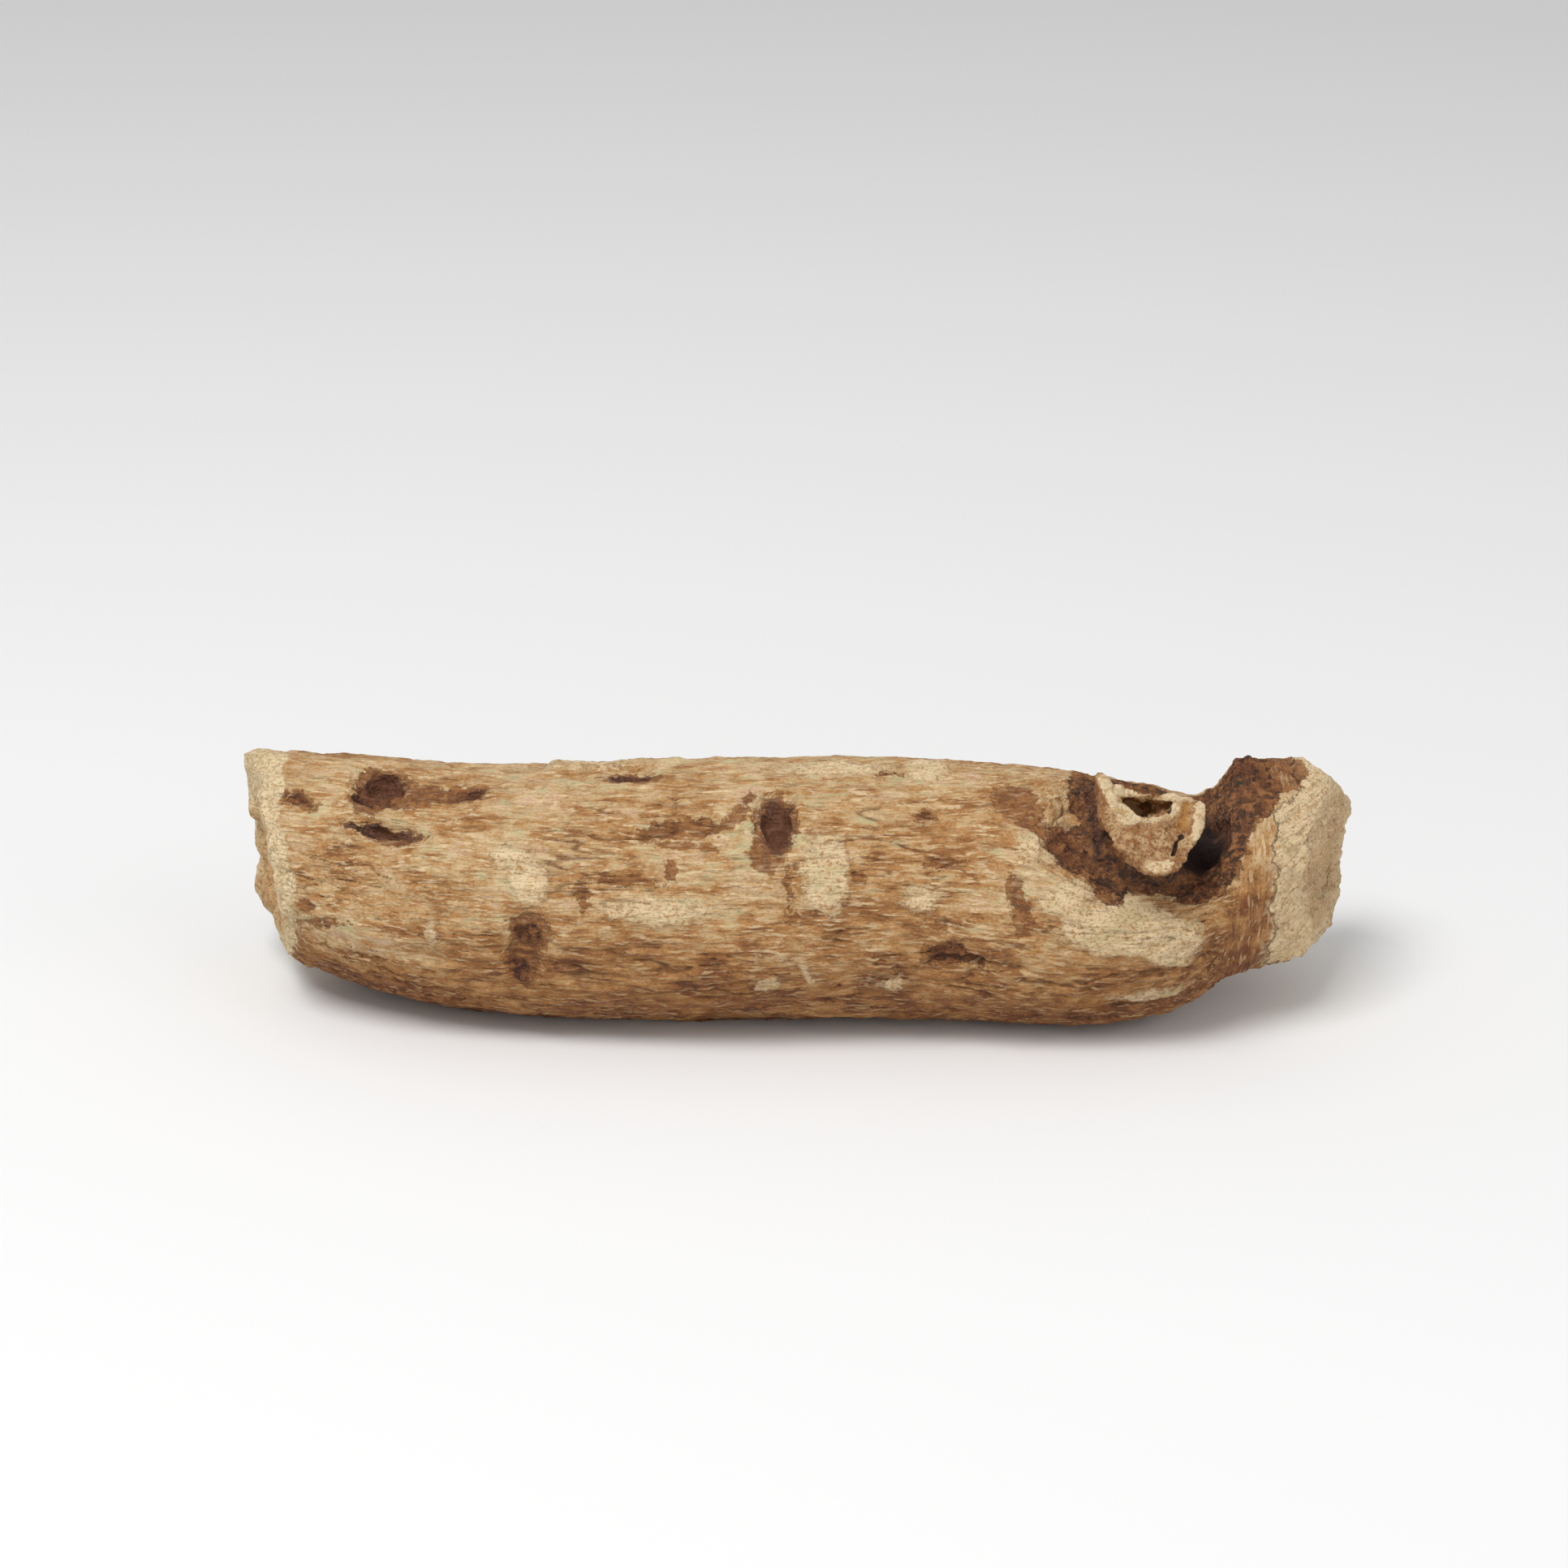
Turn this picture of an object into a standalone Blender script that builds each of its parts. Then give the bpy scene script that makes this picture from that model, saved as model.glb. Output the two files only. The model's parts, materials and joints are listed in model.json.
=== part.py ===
"""One dried turpeth root, lying on its side: a thick, gently bowed piece with both ends cut
across, the curled stump of a side root near its right end, knots, pits and shallow furrows.

Metres, +Z up. X runs along the root, from the plain end to the flared one, and the front
faces -Y. The origin is under the middle of the root, on the surface that it lies on.
"""

import math
from collections import namedtuple

import bmesh
import bpy
from mathutils import Matrix, Vector, noise

MM = 0.001

# The body of the root, end to end along its middle line
LEFT_END = -64.5 * MM
RIGHT_END = 63.9 * MM
SIDES_AROUND = 56
RINGS_ALONG = 70

# A section across the body: where its middle is, and how far the bark is from there
# upwards, downwards and to either side
Section = namedtuple("Section", "x y z up down side")
SECTIONS = [
    Section(-64.5, 7.4, 16.8, 13.6, 13.0, 12.6),
    Section(-52.0, 4.7, 15.7, 14.6, 14.4, 14.2),
    Section(-34.0, 1.8, 15.1, 14.8, 15.3, 15.2),
    Section(-9.0, 1.0, 15.3, 15.3, 15.9, 15.8),
    Section(11.0, 1.0, 15.3, 15.5, 15.9, 15.8),
    Section(32.0, -0.2, 14.8, 14.9, 15.2, 15.0),
    Section(42.0, 0.0, 14.6, 13.2, 14.0, 14.2),
    Section(48.4, 1.0, 15.0, 10.8, 12.4, 13.4),
    Section(50.9, 2.0, 16.0, 13.8, 12.0, 13.6),
    Section(57.0, 3.2, 17.4, 12.6, 12.4, 13.8),
    Section(63.9, 4.2, 18.4, 11.2, 12.2, 12.8),
]

# How far each cut leans: its run along X for a step back (+Y) and for a step up (+Z)
LEFT_LEAN = (-0.23, -0.12)
RIGHT_LEAN = (0.40, -0.02)
LEAN_REACH = 22 * MM
RAGGED_RIM = 1.0 * MM
RAGGED_REACH = 9 * MM

# How far along the root the edge of each cut is worn round, and by what share of its radius
LEFT_WEAR = (2.6 * MM, 0.07)
RIGHT_WEAR = (4.5 * MM, 0.12)

# On a cut end the thick bark stands round a core that has shrunk back. The steps go inwards
# from the bark, as shares of the radius, and the core's edge is between two of them
CUT_STEPS = (0.10, 0.12, 0.12, 0.11, 0.06, 0.13, 0.18)
CORE_RIM = 0.56
CORE_WALL = 0.06
CORE_DEPTH = 1.4 * MM
CORE_WANDER = 0.22
CUT_ROUGHNESS = 0.5 * MM

# Swellings and furrows of the bark
SWELL_HEIGHT = 0.70 * MM
SWELL_PITCH = 30 * MM
FURROW_HEIGHT = 0.72 * MM
FURROW_PITCH = 24 * MM
FURROW_COUNT = 3.1
TWIST = math.radians(16) / LEFT_END

# The underside is worn level where the root lies
FLOOR = 0.0

# A knot, pit or split in the bark. turn is the angle round the root in degrees, from the
# front (0) over the top (90) to the back (180); along and across are half sizes in mm, and
# depth and lip are how deep it goes and how high its edge stands, in mm
Mark = namedtuple("Mark", "x turn along across depth lip")
MARKS = [
    Mark(-49.7, 70, 3.1, 3.4, 1.6, 0.25),
    Mark(-42.4, 70, 4.4, 1.7, 0.8, 0.0),
    Mark(-48.9, 44, 4.8, 1.5, 1.3, 0.4),
    Mark(-3.0, 55, 2.2, 4.3, 1.4, 0.45),
    Mark(-32.0, -5, 2.7, 4.7, 0.8, 0.15),
    Mark(-19.4, 90, 2.8, 2.2, 0.8, 0.2),
    Mark(25.1, 18, 1.8, 4.0, 0.5, 0.1),
    Mark(18.4, -11, 3.6, 2.1, 0.6, 0.1),
    Mark(24.6, 68, 2.6, 2.8, 0.5, 0.1),
    Mark(-28.3, 101, 4.0, 1.8, -0.7, 0.0),
    Mark(-24.0, 168, 2.8, 3.8, 1.7, 0.5),
    Mark(13.0, 146, 4.0, 2.2, 1.2, 0.3),
    Mark(36.0, 202, 2.6, 4.0, 1.4, 0.5),
    Mark(-51.0, 214, 4.6, 1.9, 1.2, 0.3),
    Mark(4.0, 226, 3.0, 3.0, 0.9, 0.2),
]

# Two long folds where the back of the root shrank as it dried: x of the middle, turn,
# half length, half width and depth, in mm
FOLDS = [
    Mark(-12.0, 196, 34.0, 2.2, 2.0, 0.4),
    Mark(24.0, 166, 22.0, 2.0, 1.6, 0.3),
]

# The stump of the side root, a tube of bark that leans out of a sunk collar. Its outline
# looks back along it: angle in degrees from the right (0) over the far side (90), and mm
# from its middle line. It has a spur on the left, a dent on the far side and a blunt keel
STUMP_X = 40.3 * MM
STUMP_TURN = 59
STUMP_HEADING = Vector((0.14, -0.79, 0.60)).normalized()
STUMP_OUTLINE = [
    (-77, 7.3),
    (-45, 6.4),
    (-13, 6.1),
    (18, 6.3),
    (45, 5.2),
    (70, 4.7),
    (100, 4.9),
    (136, 8.3),
    (160, 6.9),
    (207, 5.9),
    (250, 6.3),
]
STUMP_WAIST = 0.14
STUMP_RIPPLE = 0.07
STUMP_ROOT = 9.0 * MM
STUMP_REACH = 4.8 * MM
RIM_SLOPE = 1.2 * MM
RIM_TEAR = 1.0 * MM
STUMP_SIDES = 38
STUMP_RINGS = 9
COLLAR_DEPTH = 2.0 * MM
COLLAR_RADIUS = 8.6 * MM
COLLAR_WIDTH = 3.0 * MM

# The core of the side root is gone, which leaves a curved hollow near the dented side
HOLLOW_HALF_WIDTH = 3.1 * MM
HOLLOW_HALF_HEIGHT = 1.3 * MM
HOLLOW_CURL = 60
HOLLOW_PLACE = (-1.0 * MM, 2.5 * MM)
HOLLOW_TILT = math.radians(-14)
HOLLOW_DEPTH = 5.2 * MM
HOLLOW_MOUTH = 16 * MM

BARK_COLOUR = (0.42, 0.27, 0.14, 1)
BARK_ROUGHNESS = 0.85


def smoothstep(low, high, value):
    t = min(max((value - low) / (high - low), 0.0), 1.0)
    return t * t * (3 - 2 * t)


def smooth_curve(stations, values, place):
    """The height at a place of a smooth curve that passes through values at stations."""
    last = len(stations) - 1
    i = 0
    while i < last - 1 and place > stations[i + 1]:
        i += 1
    gap = stations[i + 1] - stations[i]
    t = min(max((place - stations[i]) / gap, 0.0), 1.0)

    def slope(j):
        low, high = max(j - 1, 0), min(j + 1, last)
        return (values[high] - values[low]) / (stations[high] - stations[low])

    start = (2 * t**3 - 3 * t**2 + 1) * values[i] + (t**3 - 2 * t**2 + t) * gap * slope(i)
    end = (3 * t**2 - 2 * t**3) * values[i + 1] + (t**3 - t**2) * gap * slope(i + 1)
    return start + end


def section_at(x):
    """The section across the body at x, in metres."""
    stations, *columns = zip(*SECTIONS)
    return Section(x, *(smooth_curve(stations, c, x / MM) * MM for c in columns))


def plain_radius(section, turn):
    """How far the smooth bark is from the middle of a section, at an angle round it."""
    rise, run = math.sin(turn), math.cos(turn)
    tall = section.up if rise > 0 else section.down
    return 1 / math.hypot(run / section.side, rise / tall)


def angle_between(turn, other):
    return (turn - other + math.pi) % (2 * math.pi) - math.pi


def mark_height(mark, x, turn, radius):
    """The rise of the bark at one mark, negative inside a pit and positive on its lip."""
    along = (x - mark.x * MM) / (mark.along * MM)
    across = angle_between(turn, math.radians(mark.turn)) * radius / (mark.across * MM)
    apart = math.hypot(along, across)
    if apart > 3:
        return 0.0
    pit = mark.depth * math.exp(-(apart**4))
    lip = mark.lip * math.exp(-(((apart - 1.3) / 0.35) ** 2))
    return (lip - pit) * MM


def collar_height(x, turn, radius):
    """The sunk ring in the bark where the side root breaks out."""
    aside = angle_between(turn, math.radians(STUMP_TURN)) * radius
    apart = math.hypot(x - STUMP_X, aside) - COLLAR_RADIUS
    return -COLLAR_DEPTH * math.exp(-((apart / COLLAR_WIDTH) ** 2))


def bark_relief(x, turn, radius):
    """Everything that raises or sinks the bark from the smooth section."""
    wound = turn + TWIST * x
    run, rise = math.cos(wound), math.sin(wound)
    swell = noise.noise(Vector((1.2 * run, 1.2 * rise, x / SWELL_PITCH)))
    furrow = noise.noise(
        Vector((FURROW_COUNT * run, FURROW_COUNT * rise, 7 + x / FURROW_PITCH))
    )
    height = SWELL_HEIGHT * swell + FURROW_HEIGHT * furrow
    height += sum(mark_height(mark, x, turn, radius) for mark in MARKS + FOLDS)
    return height + collar_height(x, turn, radius)


def cut_share(share, turn, end):
    """Moves the rings of a cut end in and out, so that its core isn't a true circle."""
    drift = noise.noise(Vector((1.1 * math.cos(turn), 1.1 * math.sin(turn), 20 * end)))
    return share * (1 + CORE_WANDER * drift * 4 * share * (1 - share))


def cut_face_depth(share, turn, end):
    """How far a cut end is sunk at a share of the way out to the bark."""
    core = 1 - smoothstep(CORE_RIM - CORE_WALL, CORE_RIM, share)
    run, rise = 3.2 * share * math.cos(turn), 3.2 * share * math.sin(turn)
    rough = noise.noise(Vector((run, rise, 5 + 9 * end)))
    return core * CORE_DEPTH + CUT_ROUGHNESS * rough


def body_point(height, turn, share):
    """A point of a unit cylinder's skin or end, carried to its place on the root.

    height runs from 0 at the left end to 1 at the right, and share is 1 on the bark and
    less on the cut ends.
    """
    x = LEFT_END + height * (RIGHT_END - LEFT_END)
    section = section_at(x)
    radius = plain_radius(section, turn)
    radius += bark_relief(x, turn, radius)
    run, rise = math.cos(turn), math.sin(turn)
    ends = (
        (-1, x - LEFT_END, LEFT_LEAN, LEFT_WEAR),
        (1, RIGHT_END - x, RIGHT_LEAN, RIGHT_WEAR),
    )
    shift = 0.0
    place = share
    for end, gap, (lean_back, lean_up), (worn_length, worn_share) in ends:
        radius *= 1 - worn_share * max(1 - gap / worn_length, 0.0) ** 2
        nearness = 1 - smoothstep(0, LEAN_REACH, gap)
        shift += nearness * share * radius * (lean_up * rise - lean_back * run)
        ragged = noise.noise(Vector((2.6 * run, 2.6 * rise, 40 + 10 * end)))
        shift += RAGGED_RIM * ragged * share**2 * (1 - smoothstep(0, RAGGED_REACH, gap))
        if share < 1 and gap < RAGGED_REACH:
            place = cut_share(share, turn, end)
            shift -= end * cut_face_depth(share, turn, end)
    y = section.y - radius * place * run
    z = section.z + radius * place * rise
    return Vector((x + shift, y, max(z, FLOOR)))


def unit_rod(sides, rings, cut_steps):
    """A closed rod of radius 1 along Z from 0 to 1, ringed along its length and with
    rings set into both ends, ready to be shaped."""
    mesh = bmesh.new()
    bmesh.ops.create_cone(
        mesh, cap_ends=True, segments=sides, radius1=1, radius2=1, depth=1,
        matrix=Matrix.Translation((0, 0, 0.5)),
    )
    upright = [e for e in mesh.edges if abs(e.verts[0].co.z - e.verts[1].co.z) > 0.5]
    bmesh.ops.subdivide_edges(mesh, edges=upright, cuts=rings - 1)
    caps = [f for f in mesh.faces if len(f.verts) == sides]
    for step in cut_steps:
        bmesh.ops.inset_region(mesh, faces=caps, thickness=step, use_even_offset=False)
    bmesh.ops.poke(mesh, faces=caps)
    return mesh


def finish_object(name, mesh, collection):
    """A mesh object from a bmesh, smooth shaded, in its collection."""
    bmesh.ops.recalc_face_normals(mesh, faces=mesh.faces)
    data = bpy.data.meshes.new(name)
    mesh.to_mesh(data)
    mesh.free()
    data.shade_smooth()
    made = bpy.data.objects.new(name, data)
    collection.objects.link(made)
    return made


def make_body(collection):
    mesh = unit_rod(SIDES_AROUND, RINGS_ALONG, CUT_STEPS)
    for vert in mesh.verts:
        share = min(math.hypot(vert.co.x, vert.co.y), 1.0)
        if 0 < vert.co.z < 1 or share > 0.999:
            share = 1.0
        turn = math.atan2(vert.co.y, -vert.co.x)
        vert.co = body_point(vert.co.z, turn, share)
    return finish_object("root", mesh, collection)


def stump_frame():
    """The place and heading of the side root: local Z along it, local Y towards its top."""
    section = section_at(STUMP_X)
    turn = math.radians(STUMP_TURN)
    radius = plain_radius(section, turn)
    base = Vector(
        (STUMP_X, section.y - radius * math.cos(turn), section.z + radius * math.sin(turn))
    )
    heading = STUMP_HEADING
    side = Vector((0, 0, 1)).cross(heading).normalized()
    top = heading.cross(side)
    frame = Matrix((side, top, heading)).transposed().to_4x4()
    return Matrix.Translation(base) @ frame


def stump_radius(turn):
    """The stump's outline, from its middle line out to the bark, in metres."""
    first_turn, first_radius = STUMP_OUTLINE[0]
    stations, values = zip(*STUMP_OUTLINE, (first_turn + 360, first_radius))
    place = (math.degrees(turn) - first_turn) % 360 + first_turn
    return smooth_curve(stations, values, place) * MM


def make_stump(collection):
    """The outside of the side root, a short rod that starts inside the body."""
    mesh = unit_rod(STUMP_SIDES, STUMP_RINGS, (0.12, 0.2, 0.25, 0.2))
    for vert in mesh.verts:
        share = min(math.hypot(vert.co.x, vert.co.y), 1.0)
        turn = math.atan2(vert.co.y, vert.co.x)
        run, rise = math.cos(turn), math.sin(turn)
        out = -STUMP_ROOT + vert.co.z * (STUMP_ROOT + STUMP_REACH)
        ripple = noise.noise(Vector((1.8 * run, 1.8 * rise, out / (9 * MM))))
        radius = stump_radius(turn) * (1 + STUMP_RIPPLE * ripple)
        radius *= 1 - STUMP_WAIST * smoothstep(STUMP_REACH, 0, out)
        if vert.co.z > 0.99:
            torn = noise.noise(Vector((2.2 * share * run, 2.2 * share * rise, 30)))
            out += RIM_TEAR * torn - RIM_SLOPE * share * rise
        vert.co = Vector((share * radius * run, share * radius * rise, out))
    made = finish_object("side_root", mesh, collection)
    made.matrix_world = stump_frame()
    return made


def make_hollow(collection):
    """What the lost core of the side root took away, a curved and round-ended rod."""
    mesh = bmesh.new()
    bmesh.ops.create_uvsphere(mesh, u_segments=26, v_segments=12, radius=1)
    for vert in mesh.verts:
        turn = math.atan2(vert.co.y, vert.co.x)
        ripple = noise.noise(Vector((1.5 * math.cos(turn), 1.5 * math.sin(turn), 50)))
        grown = 1 + 0.12 * ripple
        aside = vert.co.x * HOLLOW_HALF_WIDTH * grown
        up = vert.co.y * HOLLOW_HALF_HEIGHT * grown + HOLLOW_CURL * aside**2
        stretch = HOLLOW_MOUTH if vert.co.z > 0 else HOLLOW_DEPTH
        vert.co = Vector((aside, up, vert.co.z * stretch))
    made = finish_object("hollow", mesh, collection)
    place = Matrix.Translation((*HOLLOW_PLACE, STUMP_REACH))
    made.matrix_world = stump_frame() @ place @ Matrix.Rotation(HOLLOW_TILT, 4, "Z")
    return made


def add_boolean(body, tool, operation):
    """Joins or cuts the body with a helper, which stays in the scene as a wire outline."""
    boolean = body.modifiers.new(tool.name, "BOOLEAN")
    boolean.operation = operation
    boolean.object = tool
    tool.hide_render = True
    tool.display_type = "WIRE"


def bark_material():
    material = bpy.data.materials.new("dried_bark")
    material.use_nodes = True
    shader = material.node_tree.nodes["Principled BSDF"]
    shader.inputs["Base Color"].default_value = BARK_COLOUR
    shader.inputs["Roughness"].default_value = BARK_ROUGHNESS
    shader.inputs["Metallic"].default_value = 0
    return material


def rest_on_origin(body, helpers):
    """Moves the root and its helpers so that it lies on Z = 0, centred on the origin."""
    bpy.context.view_layer.update()
    graph = bpy.context.evaluated_depsgraph_get()
    points = [v.co.copy() for v in body.evaluated_get(graph).data.vertices]
    low = Vector([min(p[k] for p in points) for k in range(3)])
    high = Vector([max(p[k] for p in points) for k in range(3)])
    shift = Vector((-(low.x + high.x) / 2, -(low.y + high.y) / 2, -low.z))
    for made in [body] + helpers:
        made.matrix_world = Matrix.Translation(shift) @ made.matrix_world


def main():
    for old in list(bpy.data.objects):
        bpy.data.objects.remove(old)
    root_collection = bpy.data.collections.new("turpeth_root")
    helper_collection = bpy.data.collections.new("helpers")
    for collection in (root_collection, helper_collection):
        bpy.context.scene.collection.children.link(collection)

    body = make_body(root_collection)
    stump = make_stump(helper_collection)
    hollow = make_hollow(helper_collection)
    add_boolean(body, stump, "UNION")
    add_boolean(body, hollow, "DIFFERENCE")
    body.data.materials.append(bark_material())
    rest_on_origin(body, [stump, hollow])


main()
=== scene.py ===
# %% [markdown]
# A dried turpeth root
# The piece is a thick root, cut across at both ends, with the curled stump of a side root near
# its right end. Its outer bark has worn off in patches, so pale and orange-brown areas lie side
# by side, and fine fibres run along it everywhere. We start from the plain solid that holds the
# root's true size and form. It is the fixed frame: everything below is measured from it.

# %% Load the plain solid
import json
import math
from collections import namedtuple

import bpy
import numpy as np
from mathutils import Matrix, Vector

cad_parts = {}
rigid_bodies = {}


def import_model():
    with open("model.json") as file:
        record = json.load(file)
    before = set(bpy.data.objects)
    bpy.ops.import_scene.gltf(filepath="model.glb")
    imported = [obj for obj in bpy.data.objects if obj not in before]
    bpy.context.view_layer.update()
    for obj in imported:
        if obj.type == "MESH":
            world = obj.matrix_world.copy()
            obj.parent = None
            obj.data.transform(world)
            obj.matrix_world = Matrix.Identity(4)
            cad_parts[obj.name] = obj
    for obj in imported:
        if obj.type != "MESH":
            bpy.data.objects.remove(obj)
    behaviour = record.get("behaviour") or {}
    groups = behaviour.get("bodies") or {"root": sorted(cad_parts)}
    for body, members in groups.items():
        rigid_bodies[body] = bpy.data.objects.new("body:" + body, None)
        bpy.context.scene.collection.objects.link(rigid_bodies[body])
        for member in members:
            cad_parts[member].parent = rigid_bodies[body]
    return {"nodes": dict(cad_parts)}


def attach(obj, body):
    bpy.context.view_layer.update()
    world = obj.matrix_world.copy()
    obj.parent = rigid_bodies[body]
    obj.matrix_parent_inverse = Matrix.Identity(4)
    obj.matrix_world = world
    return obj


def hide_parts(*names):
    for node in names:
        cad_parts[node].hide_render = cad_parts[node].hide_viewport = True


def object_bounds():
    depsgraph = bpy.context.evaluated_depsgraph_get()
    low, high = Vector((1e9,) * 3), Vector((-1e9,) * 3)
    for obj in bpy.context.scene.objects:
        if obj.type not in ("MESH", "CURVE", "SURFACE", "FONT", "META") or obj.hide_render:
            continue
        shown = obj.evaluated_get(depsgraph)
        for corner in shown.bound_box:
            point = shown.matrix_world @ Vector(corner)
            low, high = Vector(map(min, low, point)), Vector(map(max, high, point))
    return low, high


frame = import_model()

MM = 0.001
plain_root = frame["nodes"]["root"]
cad_low, cad_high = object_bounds()
box_low = np.array(cad_low) / MM
box_high = np.array(cad_high) / MM
print("the plain root's box in mm:", box_low.round(1), box_high.round(1))

# %% [markdown]
# The camera
# The photograph looks along +Y from 23 degrees above the horizon, with a long lens that keeps
# the two ends nearly the same size. A camera can be placed by hand and turned until the picture
# fits. Here it is worked out: one point that the middle of the picture looks at, the angle, and
# the distance. Then a change of any one of them leaves the others as they are.

# %% Place the camera
CAMERA_AIM = Vector((-2.4, 4.0, 26.6)) * MM
CAMERA_RISE = math.radians(23)
CAMERA_DISTANCE = 445 * MM
NEAREST_SEEN = 10 * MM

camera_data = bpy.data.cameras.new("photo_view")
camera_data.lens = 85
camera_data.sensor_width = 36
camera_data.clip_start = NEAREST_SEEN
camera = bpy.data.objects.new("photo_view", camera_data)
bpy.context.scene.collection.objects.link(camera)
sight = Vector((0, math.cos(CAMERA_RISE), -math.sin(CAMERA_RISE)))
camera.location = CAMERA_AIM - sight * CAMERA_DISTANCE
camera.rotation_euler = sight.to_track_quat("-Z", "Y").to_euler()
bpy.context.scene.camera = camera
print("camera at", [round(v / MM) for v in camera.location], "mm")

# %% [markdown]
# The middle line of the root
# Fibres, furrows and worn patches all follow the root, and the root is bowed. So each point of
# the bark is named by two numbers: x, how far along it is, and turn, the angle round the root
# from the front (0) over the top (90) to the back (180). For that we need the line through the
# middle. Slices of the plain solid give it: the middle of each slice, joined by a smooth
# polynomial. The slices under the stump are left out, because it would pull them forward.

# %% Measure the middle line
SLICE_GAP = 4
SLICE_HALF = 2.4
SLICE_REACH = 56
STUMP_SPAN = (28, 52)
BENDS = 3


def points_of(piece):
    """A piece's points as rows of x, y and z in millimetres."""
    flat = np.empty(len(piece.data.vertices) * 3)
    piece.data.vertices.foreach_get("co", flat)
    return flat.reshape(-1, 3) / MM


def middle_line(points):
    """Two polynomials in x, for the y and the z of the root's middle."""
    rows = []
    for x in range(-SLICE_REACH, SLICE_REACH + 1, SLICE_GAP):
        if STUMP_SPAN[0] < x < STUMP_SPAN[1]:
            continue
        cut = points[abs(points[:, 0] - x) < SLICE_HALF, 1:]
        rows.append((x, *(cut.min(axis=0) + cut.max(axis=0)) / 2))
    x, y, z = np.array(rows).T
    return np.polyfit(x, y, BENDS), np.polyfit(x, z, BENDS)


line_y, line_z = middle_line(points_of(plain_root))
print("middle of the root at x = 0:", round(line_y[-1], 2), round(line_z[-1], 2))

# %% [markdown]
# A fine skin to work on
# The plain solid has a face every two millimetres, which is too coarse for bark. A Subdivision
# Surface would follow its long thin triangles and pinch where the stump was joined on. A voxel
# Remesh lays an even net over the whole form instead, whatever faces it had before, and that
# net is what sculptors start from too. We merge the copy's loose triangles, remesh it, and rub
# the old facets away with a few rounds of Smooth.

# %% Copy and remesh the root
VOXEL = 0.25 * MM
MERGE = 0.001 * MM
SMOOTH_ROUNDS = 10


def use_alone(piece):
    """Makes one object the only selected and the active one."""
    bpy.ops.object.select_all(action="DESELECT")
    piece.select_set(True)
    bpy.context.view_layer.objects.active = piece


def apply_modifier(piece, kind, **settings):
    """Adds a modifier to a piece, sets it up and applies it."""
    use_alone(piece)
    modifier = piece.modifiers.new(kind.lower(), kind)
    for name, value in settings.items():
        setattr(modifier, name, value)
    bpy.ops.object.modifier_apply(modifier=modifier.name)
    print(kind.lower(), "leaves", len(piece.data.polygons), "faces")


bark = bpy.data.objects.new("bark", plain_root.data.copy())
bark.data.materials.clear()
bpy.context.scene.collection.objects.link(bark)
use_alone(bark)
bpy.ops.object.mode_set(mode="EDIT")
bpy.ops.mesh.select_all(action="SELECT")
bpy.ops.mesh.remove_doubles(threshold=MERGE)
bpy.ops.object.mode_set(mode="OBJECT")
apply_modifier(bark, "REMESH", mode="VOXEL", voxel_size=VOXEL)
apply_modifier(bark, "SMOOTH", factor=0.5, iterations=SMOOTH_ROUNDS)

# %% [markdown]
# Where each point is on the root
# With the middle line, x and turn follow from a point's place. The stump has a middle line of
# its own, which leans out of the body, so points on it also get a distance from that line and
# a height along it.

# %% Find x, turn and the place on the stump
STUMP_BASE = np.array((39.9, -8.7, 26.2))
STUMP_HEADING = np.array((0.14, -0.79, 0.60))
STUMP_HEADING /= np.linalg.norm(STUMP_HEADING)

points = points_of(bark)
normals = np.empty(len(points) * 3)
bark.data.vertices.foreach_get("normal", normals)
normals = normals.reshape(-1, 3)

x = points[:, 0]
back = points[:, 1] - np.polyval(line_y, x)
rise = points[:, 2] - np.polyval(line_z, x)
turn = np.arctan2(rise, -back)
radius = np.hypot(back, rise)

from_base = points - STUMP_BASE
stump_out = from_base @ STUMP_HEADING
stump_side = np.cross((0, 0, 1), STUMP_HEADING)
stump_side /= np.linalg.norm(stump_side)
stump_top = np.cross(STUMP_HEADING, stump_side)
stump_aside = from_base @ stump_side
stump_up = from_base @ stump_top
stump_apart = np.hypot(stump_aside, stump_up)
print("radius of the body:", radius.min().round(1), "to", radius.max().round(1), "mm")

# %% [markdown]
# Random heights
# Bark is never regular, so nearly every step below needs smooth random bumps. Blender's own
# textures could give them, but here we want them at every point at once and stretched along
# the fibres. This is the classic gradient noise: each corner of a lattice of cubes gets a
# random slope, and a point mixes the slopes of the eight corners round it. Further down,
# 0.7 * bumps(points / 3, 24) means bumps 3 mm apart and up to about 0.7 mm high, and the 24
# only picks one pattern of many.

# %% A noise that works on all points at once
SEED = 7
LATTICE = 256
BUMP_GAIN = 1.6
rng = np.random.default_rng(SEED)
SHUFFLE = np.tile(rng.permutation(LATTICE), 2)
SLOPES = rng.normal(size=(LATTICE, 3))
SLOPES /= np.linalg.norm(SLOPES, axis=1)[:, None]


def bumps(places, seed=0):
    """Smooth random heights, from about -1 to 1, whose swells are about one unit apart."""
    cell = np.floor(places).astype(int)
    part = places - cell
    ease = part**3 * (part * (part * 6 - 15) + 10)
    total = np.zeros(len(places))
    for corner in np.ndindex(2, 2, 2):
        i, j, k = ((cell + corner) % LATTICE).T
        slope = SLOPES[SHUFFLE[SHUFFLE[SHUFFLE[(i + seed) % LATTICE] + j] + k]]
        share = np.where(corner, ease, 1 - ease).prod(axis=1)
        total += share * ((part - corner) * slope).sum(axis=1)
    return total * BUMP_GAIN


def smoothstep(low, high, value):
    """A soft step from 0 at low to 1 at high, and the other way where low is the larger."""
    share = np.clip((value - low) / (high - low), 0, 1)
    return share * share * (3 - 2 * share)


def turned(degrees):
    """The angle from a turn in degrees to each point's turn, the short way round."""
    return (turn - math.radians(degrees) + math.pi) % (2 * math.pi) - math.pi


trial = bumps(points / 5)
print("bumps run from", trial.min().round(2), "to", trial.max().round(2))

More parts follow.
